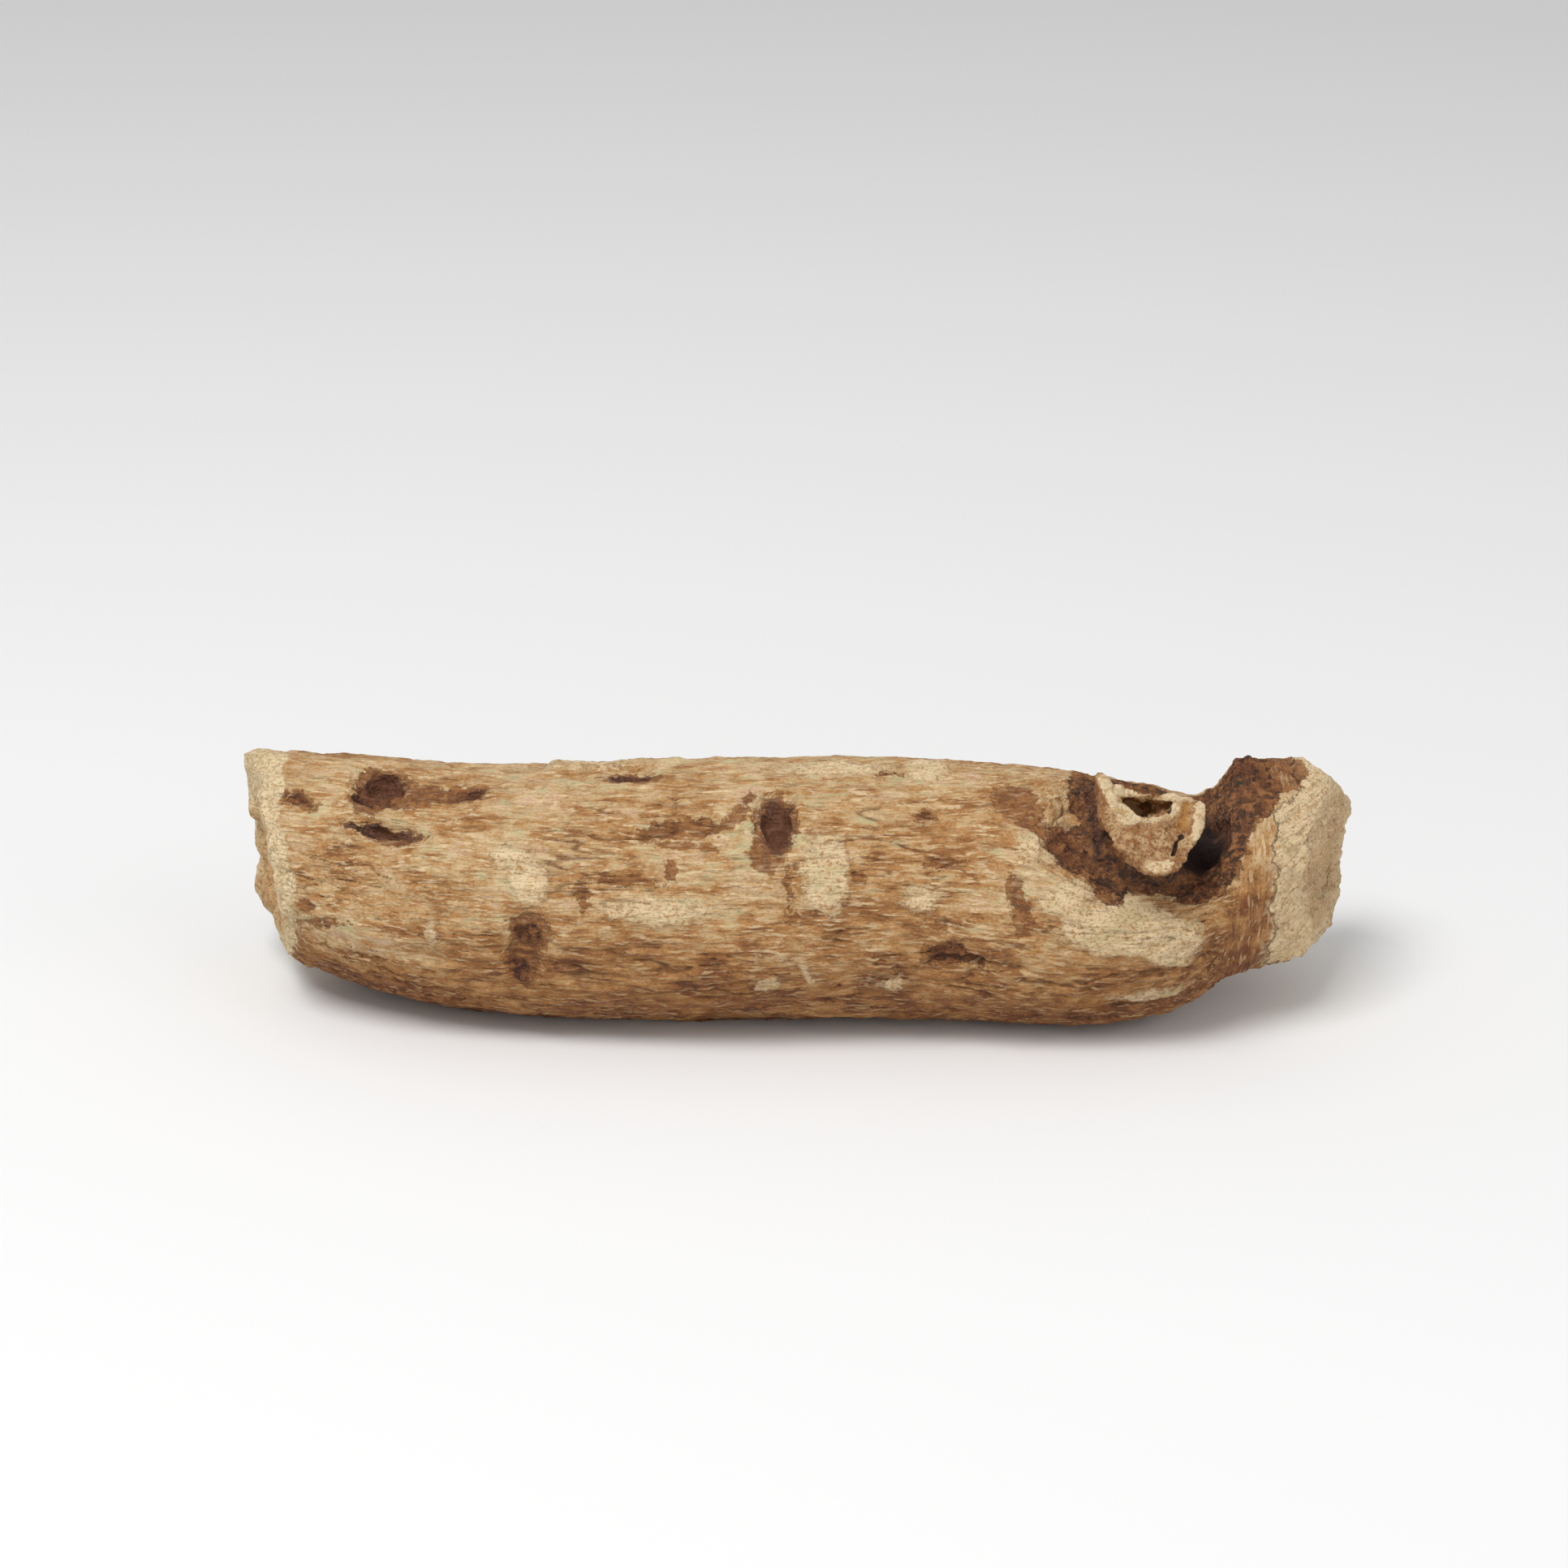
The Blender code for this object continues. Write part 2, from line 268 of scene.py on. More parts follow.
# %% [markdown]
# The run of the fibres
# Fibres run along the root, but they part round a knot as water parts round a stone. The flow
# past a round post is a known formula: a line at a height h from the post's middle goes where
# h times (1 - R*R / distance squared) stays the same. We use it to bend the angle round the
# root near the stump and near two knots on the back, and the bent place of each point is kept
# as its grain. Noise that is stretched along the grain then draws fibres that flow round them.
# On the stump itself the grain runs along the stump.

# %% Work out the grain
Knot = namedtuple("Knot", "x turn radius")
KNOTS = [
    Knot(40.4, 54, 8.2),
    Knot(-24.4, 168, 1.5),
    Knot(35.6, 202, 1.3),
]
STUMP_FOOT = (0.9, 1.5)
STUMP_REACH = (8.6, 8.0)
STUMP_SIDE = (28, 30)
FAR_AWAY = 80

bent = turn.copy()
for knot in KNOTS:
    along = x - knot.x
    across = turned(knot.turn) * radius
    share = knot.radius**2 / np.maximum(along**2 + across**2, knot.radius**2)
    bent -= across / radius * share
body_grain = np.stack([x, -radius * np.cos(bent), radius * np.sin(bent)], axis=1)
stump_grain = np.stack([stump_out, stump_aside + FAR_AWAY, stump_up], axis=1)
near_stump = smoothstep(*STUMP_SIDE, x)
on_stump = smoothstep(*STUMP_FOOT, stump_out) * smoothstep(*STUMP_REACH, stump_apart)
on_stump *= near_stump
print("points on the stump:", int((on_stump > 0.5).sum()))

# %% [markdown]
# The bleached end and the neck
# The right end is bleached up to a wavy edge, and its fibres slant upwards to the right. Between
# that edge and the stump lies the neck, where the marks run round the root. The edge is not a
# plane: it lies further along on the top, on the back and underneath. So it is a place along
# the root that shifts with the turn, and noise makes it wavy. The slant is given as the picture
# shows it, so each point's height in the picture is needed, and its depth.

# %% Find the bleached end and the neck
RIGHT_EDGE = 54.9
EDGE_ON_TOP = 3.6
TOP_TURN = (40, 85)
EDGE_BELOW = 4.0
BELOW_TURN = (-50, -90)
EDGE_BEHIND = 2.4
BEHIND_TURN = (100, 140)
UP_SEEN = 0.92
AWAY_SEEN = 0.39
SLANT = 0.7
FLATTEN = 0.15
NECK_START = (48.0, 51.5)

degrees = np.degrees(turn)
right_edge = RIGHT_EDGE + EDGE_ON_TOP * smoothstep(*TOP_TURN, degrees)
right_edge += EDGE_BELOW * smoothstep(*BELOW_TURN, degrees)
right_edge += EDGE_BEHIND * smoothstep(*BEHIND_TURN, degrees)
past_edge = x - right_edge + 1.3 * bumps(points / 3.0, 36) + 0.7 * bumps(points / 1.0, 38)
neck = smoothstep(*NECK_START, x + 2.5 * bumps(points / (4, 1.5, 1.5), 37)) * (past_edge < 0)

height_seen = UP_SEEN * points[:, 2] + AWAY_SEEN * points[:, 1]
depth_seen = UP_SEEN * points[:, 1] - AWAY_SEEN * points[:, 2]
up_slant = height_seen - SLANT * x
slant_grain = np.stack([x + SLANT * height_seen, up_slant, FLATTEN * depth_seen], axis=1)
grain = np.where(past_edge[:, None] > 0, slant_grain + FAR_AWAY / 2, body_grain)
grain = np.where(on_stump[:, None] > 0.5, stump_grain, grain)
print("share of the skin on the bleached end:", (past_edge > 0).mean().round(3))


def fibres(along, across, seed=0):
    """Random heights that are long along the grain and short across it, in millimetres."""
    return bumps(grain / (along, across, across), seed)


# %% [markdown]
# Worn and whole patches
# On the real root the bark is like a map: dark knots and pits, brown islands where the pale
# outer skin has flaked off, and pale ones where it is whole. Painting them by hand on a texture
# would work, but a picture can't follow a change of form. So each patch is written as a place
# on the root, with x in millimetres and turn in degrees, its half length and half width in
# millimetres, and its lean in degrees. First come the pits: sunk knots and slits, which are
# painted nearly black, partly their own dark colour and partly painted shade.

# %% Place the dark pits
Patch = namedtuple("Patch", "x turn along across lean", defaults=(0,))
DARK_PITS = [
    Patch(-49.7, 78, 2.2, 1.8),
    Patch(-52.0, 65, 1.1, 0.9, 25),
    Patch(-38.9, 72, 1.4, 0.8, 25),
    Patch(-49.8, 48, 4.7, 0.5, -7),
    Patch(-3.3, 54, 1.4, 3.7),
    Patch(-20.4, 85, 2.8, 1.3, 5),
    Patch(48.2, 48, 1.5, 3.6),
    Patch(46.6, 32, 2.2, 1.5, 30),
    Patch(41.0, 27, 3.6, 0.9),
    Patch(34.2, 62, 0.9, 6.5),
    Patch(-24.4, 168, 1.2, 2.4, 25),
    Patch(12.6, 146, 2.8, 0.7, 12),
    Patch(35.6, 202, 0.9, 2.0, -30),
    Patch(-51.4, 214, 4.0, 1.0),
    Patch(3.6, 226, 2.0, 2.0),
]
print("dark pits:", len(DARK_PITS))

# %% [markdown]
# In the brown islands the pale outer skin has flaked off, and darker bark shows. They lie round
# the pits and in between, mostly on the front. Many are narrow, because the skin tears along
# the fibres.

# %% Place the brown islands
BROWN_ISLANDS = [
    Patch(-50.0, 74, 3.4, 3.7),
    Patch(-51.6, 61, 2.2, 1.7),
    Patch(-47.0, 66, 3.0, 2.2),
    Patch(-43.4, 69, 3.4, 1.5),
    Patch(-39.7, 70, 2.8, 1.4, 25),
    Patch(-47.6, 45, 3.2, 1.1, -7),
    Patch(-3.4, 53, 2.3, 4.6),
    Patch(-4.4, 38, 2.0, 1.9, -20),
    Patch(-1.9, 23, 0.6, 3.0),
    Patch(0.2, 11, 2.2, 0.6, 8),
    Patch(-6.6, 66, 1.0, 1.3),
    Patch(-8.2, 57, 2.9, 0.9, 43),
    Patch(-12.2, 52, 2.4, 0.9, -6),
    Patch(-16.2, 51, 2.4, 1.1, 8),
    Patch(-18.4, 47, 0.8, 1.3),
    Patch(-14.4, 43, 3.2, 0.5, -4),
    Patch(-15.8, 31, 1.0, 1.3),
    Patch(-21.6, 27, 3.6, 0.6),
    Patch(-25.7, 21, 0.8, 1.9),
    Patch(-32.2, 3, 2.7, 2.7),
    Patch(-33.0, -15, 2.0, 3.4),
    Patch(-20.4, 84, 3.8, 2.0),
    Patch(6.1, 29, 0.9, 0.7),
    Patch(16.1, 34, 2.1, 0.7),
    Patch(13.9, 56, 1.5, 0.7),
    Patch(9.8, 83, 1.5, 0.7),
    Patch(16.2, 8, 3.0, 0.5),
    Patch(16.4, -7, 2.8, 2.1, 12),
    Patch(19.0, -10, 2.4, 0.9, -12),
    Patch(24.2, 20, 1.1, 2.2),
    Patch(25.2, 9, 1.3, 2.4),
    Patch(24.6, 66, 2.6, 2.9),
    Patch(26.4, 55, 2.2, 1.7, -35),
    Patch(29.6, 45, 2.4, 2.2, -25),
    Patch(-59.8, 62, 2.6, 0.9, -22),
    Patch(-57.0, -3, 3.2, 0.6, 14),
    Patch(-55.0, -22, 3.4, 0.5),
    Patch(-58.8, 6, 0.8, 1.2),
    Patch(47.2, -16, 0.8, 0.8),
    Patch(55.0, 92, 5.0, 5.0),
    Patch(56.4, 78, 2.6, 2.6),
    Patch(-24.0, 168, 2.4, 3.4, 25),
    Patch(-20.8, 162, 2.6, 1.0, 30),
    Patch(12.6, 146, 4.2, 1.3, 12),
    Patch(35.6, 202, 1.7, 2.9, -30),
    Patch(-51.4, 214, 4.7, 1.6),
    Patch(3.6, 226, 2.6, 2.6),
]
print("brown islands:", len(BROWN_ISLANDS))

# %% [markdown]
# Within the larger brown islands the bark is darker and crumbly. All round the foot of the stump
# it is dark as well, partly its own colour and partly painted shade. It gets a kind of its own,
# so that it can be rougher too.

# %% Place the dark bark and its painted shade
DARK_BARK_AND_PAINTED_SHADE = [
    Patch(-50.2, 70, 2.6, 2.4),
    Patch(-39.4, 71, 2.0, 1.0, 25),
    Patch(-32.4, 1, 1.7, 1.5),
    Patch(-33.2, -19, 1.3, 1.6),
    Patch(-60.0, 62, 1.6, 0.5, -22),
    Patch(16.6, -7, 2.2, 1.6, 14),
    Patch(19.0, -10, 2.0, 0.7, -12),
    # Round the stump's foot and the shoulder behind it: dark bark and painted shade.
    Patch(34.4, 84, 3.2, 8.0),
    Patch(32.6, 40, 4.4, 3.2),
    Patch(38.6, 25, 6.0, 2.5),
    Patch(36.0, 19, 2.9, 1.7),
    Patch(45.8, 20, 4.8, 2.5, 5),
    Patch(48.6, 33, 3.0, 3.0),
    Patch(50.2, 60, 3.4, 5.6),
    Patch(53.0, 72, 3.0, 5.2),
    Patch(49.5, 92, 6.0, 6.0),
    Patch(40.0, 108, 6.0, 2.4),
    Patch(41.2, 84, 5.4, 6.6),
]
print("patches of dark bark:", len(DARK_BARK_AND_PAINTED_SHADE))

# %% [markdown]
# Pale islands are places where the skin is whole, dry and bleached. The largest lies under the
# stump.

# %% Place the pale islands
PALE_ISLANDS = [
    Patch(-17.3, 14, 7.0, 1.8),
    Patch(2.4, 30, 3.0, 5.2),
    Patch(36.2, 3, 7.6, 3.4, -8),
    Patch(43.0, -6, 4.0, 3.2),
    Patch(26.3, 41, 1.3, 2.5),
    Patch(13.2, 19, 2.2, 1.6),
    Patch(30.5, 17, 4.0, 2.2),
    Patch(-43.8, -1, 0.7, 2.8),
    Patch(-32.1, 25, 2.6, 2.6),
    Patch(-34.0, 36, 2.6, 1.4),
    Patch(-3.6, -8, 3.0, 0.6, -10),
    Patch(0.2, -14, 0.7, 3.0, 15),
    Patch(-4.4, -22, 1.6, 1.4),
    Patch(10.0, -24, 2.6, 1.0),
    Patch(40.4, -33, 5.0, 1.3),
    Patch(14.4, 87, 2.6, 3.2),
    Patch(-25.0, 99, 7.0, 1.1),
    Patch(-54.2, 43, 1.8, 0.7, -35),
    Patch(3.0, 88, 8.0, 1.8),
]
print("pale islands:", len(PALE_ISLANDS))

# %% [markdown]
# How deep inside a patch
# For each kind we keep how deep a point lies inside the nearest patch, which is below zero
# outside it. One number then gives the step in the relief and the edge of the colour alike. To
# make the outlines uneven, the points' places are first moved about with noise: swells of a few
# millimetres and finer notches. The photograph doesn't show the back and the underside, so
# islands there come from noise as well.

# %% Measure the depth inside the patches
WANDER = ((2.8, 0.55), (1.0, 0.4))
OUTSIDE = -6.0
ON_STUMP = -3.0
ISLAND_LEVEL = 0.52
BROWN_LEVEL = 0.50
ISLAND_STEEPNESS = 5
HIDDEN_BEHIND = (105, 125)
HIDDEN_BELOW = (-50, -70)

x_moved = x.copy()
across_moved = np.zeros(len(points))
for size, reach in WANDER:
    x_moved += reach * bumps(points / size, 21)
    across_moved += reach * bumps(points / size, 22)


def depth_inside(patches):
    """How many millimetres each point lies inside the nearest patch, negative outside."""
    deepest = np.full(len(points), OUTSIDE)
    for patch in patches:
        lean = math.radians(patch.lean)
        along = x_moved - patch.x
        across = turned(patch.turn) * radius + across_moved
        run = (along * math.cos(lean) + across * math.sin(lean)) / patch.along
        side = (across * math.cos(lean) - along * math.sin(lean)) / patch.across
        inside = (1 - np.hypot(run, side)) * min(patch.along, patch.across)
        deepest = np.maximum(deepest, inside)
    return deepest


pit_depth = depth_inside(DARK_PITS)
brown_depth = depth_inside(BROWN_ISLANDS)
dark_bark_and_painted_shade_depth = depth_inside(DARK_BARK_AND_PAINTED_SHADE)
pale_depth = depth_inside(PALE_ISLANDS)

hidden = smoothstep(*HIDDEN_BEHIND, degrees) + smoothstep(*HIDDEN_BELOW, degrees)
hidden *= past_edge < -1
drift = bumps(points / (9, 5, 5), 41) + 0.5 * bumps(points / (3.5, 2, 2), 42)
shown = OUTSIDE * (1 - hidden)
pale_depth = np.maximum(pale_depth, ISLAND_STEEPNESS * (drift - ISLAND_LEVEL) + shown)
brown_depth = np.maximum(brown_depth, ISLAND_STEEPNESS * (-BROWN_LEVEL - drift) + shown)
off_stump = on_stump < 0.5
for depth in (pit_depth, brown_depth, dark_bark_and_painted_shade_depth, pale_depth):
    depth[~off_stump] = ON_STUMP
print("share of the skin in pale islands:", (pale_depth > 0).mean().round(2))

# %% [markdown]
# The cut faces
# Both ends were cut across, and so was the side root. A cut shows the thick bark as a pale
# ring round the darker, fibrous core. A point is on a cut when the smooth skin there faces
# along the root, so its normal tells us. Normals alone would miss the dip in the middle of the
# left end, so all that lies near the middle line there counts too.

# %% Find the cut faces
FACING = (0.55, 0.75)
LEFT_END = (-50, -54)
LEFT_DIP = (-57, -59)
DIP_RADIUS = (8.6, 7.6)
RIGHT_END = (56, 59)
STUMP_FACING = (0.55, 0.80)
FACE_HEIGHT = (1.5, 2.5)
FACE_RADIUS = (10.5, 9.5)
CORE_EDGE = (9.0, 7.4)

left_cut = smoothstep(*FACING, -normals[:, 0]) * smoothstep(*LEFT_END, x)
dip = smoothstep(*DIP_RADIUS, radius) * smoothstep(*LEFT_DIP, x)
left_cut = np.maximum(left_cut, dip)
right_cut = smoothstep(*FACING, normals[:, 0]) * smoothstep(*RIGHT_END, x)
stump_cut = smoothstep(*STUMP_FACING, normals @ STUMP_HEADING)
stump_cut *= smoothstep(*FACE_HEIGHT, stump_out) * smoothstep(*FACE_RADIUS, stump_apart)
stump_cut *= near_stump
cut = np.maximum(left_cut, stump_cut)
core = np.maximum(left_cut, right_cut)
core *= smoothstep(*CORE_EDGE, radius + 0.8 * bumps(points / 2, 23))
print("share of the skin on the left cut:", (left_cut > 0.5).mean().round(3))

# %% [markdown]
# Beside the left cut the outer bark has been scraped off in a pale strip. Its edge is wavy and
# slants a little, and it is sharp, so the step takes only a third of a millimetre.

# %% Find the scraped strip
STRIP_EDGE = -60.2
STRIP_SLANT = 1.7
SLANT_TURN = 65
STRIP_BLUR = 0.15

strip_edge = STRIP_EDGE - STRIP_SLANT * smoothstep(0, SLANT_TURN, abs(degrees))
strip_edge += 0.7 * bumps(points / 3.0, 24) + 0.4 * bumps(points / 0.9, 25)
strip = smoothstep(strip_edge + STRIP_BLUR, strip_edge - STRIP_BLUR, x)
print("share of the skin in the strip:", (strip > 0.5).mean().round(3))

# %% [markdown]
# The hollow of the stump
# The wood of the side root has rotted out of its bark, which leaves a curved hollow. Places on
# the broken face are given on the face itself: how far to the right of the stump's middle line,
# and how far up. The hollow is an ellipse there, tilted and bent like a banana, and its edge is
# kept as a distance, so that the rim can be laid round it. The far wall, which shows above the
# hollow, is marked with it.

# %% Mark the hollow
HOLLOW_MIDDLE = (-1.0, 2.5)
HOLLOW_HALF = (3.1, 1.3)
HOLLOW_TILT = math.radians(-14)
HOLLOW_CURL = 0.06
HOLLOW_RIM = (0.55, 0.15)
HOLLOW_TOP = (4.6, 3.6)
HOLLOW_FLOOR = (-7, -6)
FAR_WALL_FOOT = (2.6, 3.0)
FAR_WALL_TOP = (4.5, 4.1)
FAR_WALL_LEFT = (-4.6, -4.0)
FAR_WALL_RIGHT = (1.5, 1.1)

aside = stump_aside - HOLLOW_MIDDLE[0]
up = stump_up - HOLLOW_MIDDLE[1]
hollow_run = aside * math.cos(HOLLOW_TILT) + up * math.sin(HOLLOW_TILT)
hollow_rise = up * math.cos(HOLLOW_TILT) - aside * math.sin(HOLLOW_TILT)
hollow_rise -= HOLLOW_CURL * hollow_run**2
hollow_edge = np.hypot(hollow_run / HOLLOW_HALF[0], hollow_rise / HOLLOW_HALF[1]) - 1
hollow_edge *= HOLLOW_HALF[1]
hollow = smoothstep(*HOLLOW_RIM, hollow_edge) * smoothstep(*HOLLOW_TOP, stump_out)
hollow *= near_stump * smoothstep(*HOLLOW_FLOOR, stump_out)

far_wall = smoothstep(*FAR_WALL_FOOT, stump_up) * smoothstep(*FAR_WALL_TOP, stump_up) * on_stump
far_wall *= smoothstep(*FAR_WALL_LEFT, stump_aside) * smoothstep(*FAR_WALL_RIGHT, stump_aside)
hollow = np.maximum(hollow, far_wall)
print("points in the hollow:", int((hollow > 0.5).sum()))

# %% [markdown]
# The broken face
# Round the hollow the rim is pale, and so are the two arms of bark and the lower edge. Two
# cracks and a groove mark the face beside it. Each is a short line drawn on the face, with
# noise added to the distance from it, so that it looks torn and not ruled.

# %% Mark the rim, the cracks and the groove
LEFT_ARM = ((-5.6, 5.6), (-3.4, 0.6), 1.6)
RIGHT_ARM = ((5.6, 1.4), (4.5, -2.8), 1.0)
LOWER_EDGE = ((-1.6, -5.8), (0.4, -6.1), 1.2)
LONG_CRACK = ((3.1, -2.4), (1.5, -4.8), 0.42)
SHORT_CRACK = ((1.6, 1.3), (2.0, 2.3), 0.5)
GROOVE = ((3.9, 2.0), (3.1, -1.0), 0.8)
RIM_WIDTH = (1.7, 0.4)


def face_line(start, end, width):
    """How near each point is to a line drawn on the stump's face, from 0 to 1."""
    line = np.subtract(end, start)
    aside = stump_aside - start[0]
    up = stump_up - start[1]
    share = np.clip((aside * line[0] + up * line[1]) / (line @ line), 0, 1)
    apart = np.hypot(aside - share * line[0], up - share * line[1])
    torn = apart + 0.25 * bumps(points / 0.8, 31)
    return smoothstep(width, 0.3 * width, torn) * smoothstep(1.0, 2.0, stump_out) * on_stump


pale_rim = smoothstep(*RIM_WIDTH, hollow_edge + 0.6 * bumps(points / 1.2, 32)) * stump_cut
pale_rim = np.maximum(pale_rim, face_line(*LEFT_ARM))
pale_rim = np.maximum(pale_rim, face_line(*RIGHT_ARM))
pale_rim = np.maximum(pale_rim, 0.6 * face_line(*LOWER_EDGE))
split = np.maximum(face_line(*LONG_CRACK), face_line(*SHORT_CRACK))
groove = face_line(*GROOVE)
print("points in the cracks:", int((split > 0.5).sum()))

# %% [markdown]
# The stump looks broken and not turned on a lathe. Sculpting would do it, but can't be written
# down, so points on the stump are moved in the stump's own directions, by about a millimetre.
# First, what moves inwards: the wall below the face is undercut, so that the face overhangs the
# dark collar, and the lower right corner is missing.

# %% Undercut the stump
UNDERCUT = 1.3
WALL_RADIUS = (4.4, 5.0)
WALL_TOP = (5.4, 2.8)
WALL_FOOT = (0.3, 1.6)
WALL_TURN = (10, -30)
CORNER = 1.0
CORNER_TURN = -55
CORNER_WIDTH = 24
CORNER_RADIUS = 6

stump_angle = np.degrees(np.arctan2(stump_up, stump_aside))
lower_wall = smoothstep(*WALL_RADIUS, stump_apart) * smoothstep(*WALL_TOP, stump_out)
lower_wall *= smoothstep(*WALL_FOOT, stump_out) * smoothstep(*WALL_TURN, stump_angle)
lower_wall *= smoothstep(*STUMP_REACH, stump_apart) * near_stump
near_corner = np.exp(-(((stump_angle - CORNER_TURN) / CORNER_WIDTH) ** 2))
inward = UNDERCUT * lower_wall
inward += CORNER * on_stump * near_corner * stump_apart / CORNER_RADIUS
print("the wall moves in by up to", inward.max().round(2), "mm")

# %% [markdown]
# Then what moves down along the stump: the far rim of the hollow has crumbled, and the edge
# before the hollow dips, while the left arm stands up.

# %% Break down the rim and move the stump's points
RIM_DROP = 0.85
RIM_START = (1.4, 3.6)
RIM_END = (3.8, 4.4)
RIM_LEFT = (-5.9, -4.2)
LIP_DROP = 0.6
LIP_LEFT = (-4.4, -3.0)
LIP_RIGHT = (2.4, 1.2)
LIP_PLACE = 1.0
LIP_WIDTH = 1.1
ARM_LIFT = 0.8
ARM_PLACE = (-6.2, 4.6)
ARM_SPREAD = 2
NEAR_FACE = (2.0, 3.5)

downward = RIM_DROP * (smoothstep(*RIM_START, stump_up) + 0.5 * smoothstep(*RIM_END, stump_up))
downward *= smoothstep(*RIM_LEFT, stump_aside)
lip = smoothstep(*LIP_LEFT, stump_aside) * smoothstep(*LIP_RIGHT, stump_aside)
downward += LIP_DROP * lip * np.exp(-(((stump_up - LIP_PLACE) / LIP_WIDTH) ** 2))
from_arm = (stump_aside - ARM_PLACE[0]) ** 2 + (stump_up - ARM_PLACE[1]) ** 2
downward -= ARM_LIFT * np.exp(-from_arm / ARM_SPREAD)
downward *= on_stump * smoothstep(*NEAR_FACE, stump_out)

outwards = np.outer(stump_aside, stump_side) + np.outer(stump_up, stump_top)
outwards /= np.maximum(stump_apart, 0.1)[:, None]
trimmed = points - outwards * inward[:, None] - stump_top * downward[:, None]
print("points moved on the stump:", int((inward + abs(downward) > 0.1).sum()))

# %% [markdown]
# Raising the bark
# Now the skin gets its form. Each layer is a height in millimetres, and in the end the points
# move along their normals by the sum. A texture in a Displace modifier could make one such
# layer, but not one that knows about its neighbours. The first layers are the bark's own: long
# shrunken furrows, finer ridges between them, thin cracks, and grit. At the neck the bark is
# wrinkled round the root instead. The lower half has shrunk more and is rougher.

# %% Add up the relief of the bark
FURROW_DEPTH = 0.20
CRACK_DEPTH = 0.40
FURROW_WIDTH = 0.10
CRACK_WIDTH = 0.06
LOW_EXTRA = 0.6
BACK_ENDS = (-170, -140)


def lower_part(start, end):
    """A share that grows from 0 to 1 down the front, and ends where the back begins."""
    return smoothstep(start, end, degrees) * smoothstep(*BACK_ENDS, degrees)


on_bark = 1 - cut
furrow = np.exp(-((fibres(9, 1.7, 1) / FURROW_WIDTH) ** 2))
furrow *= smoothstep(-0.2, 0.3, fibres(14, 5, 17))
ridges = 0.12 * fibres(9, 1.5, 2) + 0.13 * fibres(4.5, 0.95, 3) + 0.11 * fibres(2.4, 0.6, 15)
low_side = lower_part(20, -20)
ridges *= 1 + LOW_EXTRA * low_side
swells = 0.22 * bumps(points / (9, 4.5, 4.5), 16)
crack_where = smoothstep(0.05, 0.35, fibres(16, 5, 5) + 0.25 * low_side)
crack = np.exp(-((fibres(10, 1.6, 4) / CRACK_WIDTH) ** 2)) * crack_where
wrinkles = 0.18 * bumps(points / (1.2, 6, 6), 6) + 0.14 * bumps(points / (0.7, 2.5, 2.5), 18)
grit = 0.09 * bumps(points / 0.8, 7) + 0.09 * bumps(points / 1.9, 8)

along_root = ridges - FURROW_DEPTH * furrow - CRACK_DEPTH * crack
height = on_bark * (along_root + neck * (wrinkles - along_root))
height += grit + swells
print("bark relief from", height.min().round(2), "to", height.max().round(2), "mm")

# %% [markdown]
# Next come the patches. A pale island stands a step above the bark round it, because its skin
# is whole, and a brown one lies a step below, as the scraped strip does. Pits are sunk and have
# rough floors, dark bark is crumbly, and one flake stands up on the top edge.

# %% Add the relief of the patches
BARK_STEP = 0.16
PIT_DEPTH = 0.75
DARK_SINK = 0.20
FLAKE = Patch(-22.5, 101, 8.5, 1.7)
FLAKE_HEIGHT = 0.45

edges = smoothstep(-0.15, 0.15, pale_depth) - smoothstep(-0.15, 0.15, brown_depth)
height += on_bark * BARK_STEP * (edges - smoothstep(0.2, 0.8, strip))
pitted = smoothstep(-0.1, 0.8, pit_depth)
height += pitted * (0.35 * bumps(points / 1.1, 9) - PIT_DEPTH)
rough_bark = smoothstep(-0.2, 0.6, dark_bark_and_painted_shade_depth)
crumbs = 0.36 * bumps(points / 1.3, 10) + 0.22 * bumps(points / 0.6, 19)
height += rough_bark * (crumbs - DARK_SINK)
height += 0.15 * smoothstep(-0.2, 0.4, brown_depth) * bumps(points / 0.7, 20)
height += FLAKE_HEIGHT * smoothstep(-0.1, 0.2, depth_inside([FLAKE]))
print("share of the skin in pits:", (pitted > 0.5).mean().round(3))

# %% [markdown]
# Last come the ends and the stump. The cuts show faint growth rings and torn fibres, the edge
# of the bleached bark stands up a little on the front, and the broken stump is coarse, with its
# cracks and groove cut in. The whole is lowered by a hair, so that it stays in the plain
# solid's box.

# %% Add the relief of the ends and the stump
RING_TURNS = 2.6
BROW_HEIGHT = 0.35
BROW_EDGE = (-0.2, 0.3)
BROW_BACK = (2.2, 0.8)
BROW_BELOW = (-15, 5)
BROW_ABOVE = (55, 40)
SPLIT_DEPTH = 0.7
GROOVE_DEPTH = 0.45
LOWERING = 0.08

rings = np.sin(radius * RING_TURNS + 1.5 * bumps(points / 4, 11))
height += left_cut * (0.06 * rings + 0.14 * bumps(grain / (2.5, 0.9, 0.9), 12))
height += right_cut * 0.05 * rings
height += smoothstep(0, 1, past_edge) * 0.12 * fibres(5, 1.1, 12)
brow = smoothstep(*BROW_EDGE, past_edge) * smoothstep(*BROW_BACK, past_edge)
height += BROW_HEIGHT * brow * smoothstep(*BROW_BELOW, degrees) * smoothstep(*BROW_ABOVE, degrees)
height += core * 0.14 * bumps(points / (6, 0.9, 0.9), 13)
coarse = 0.26 * bumps(points / 1.0, 33) + 0.16 * bumps(points / 0.55, 43)
height += on_stump * (coarse + 0.25 * pale_rim)
height -= SPLIT_DEPTH * split + GROOVE_DEPTH * groove
height -= LOWERING
print("all relief from", height.min().round(2), "to", height.max().round(2), "mm")

# %% [markdown]
# The torn left end and the filled right end
# The saw left both cuts a little ragged. It tore the far rim of the left one, and small tabs of
# bark stand out there. They move along X, not along the normals. On the right end the core has
# swollen back level with the bark, so a plane is laid through the bark's cut ring, and the core
# moves onto it. That plane is a least squares fit, the same that draws a line through
# scattered dots.

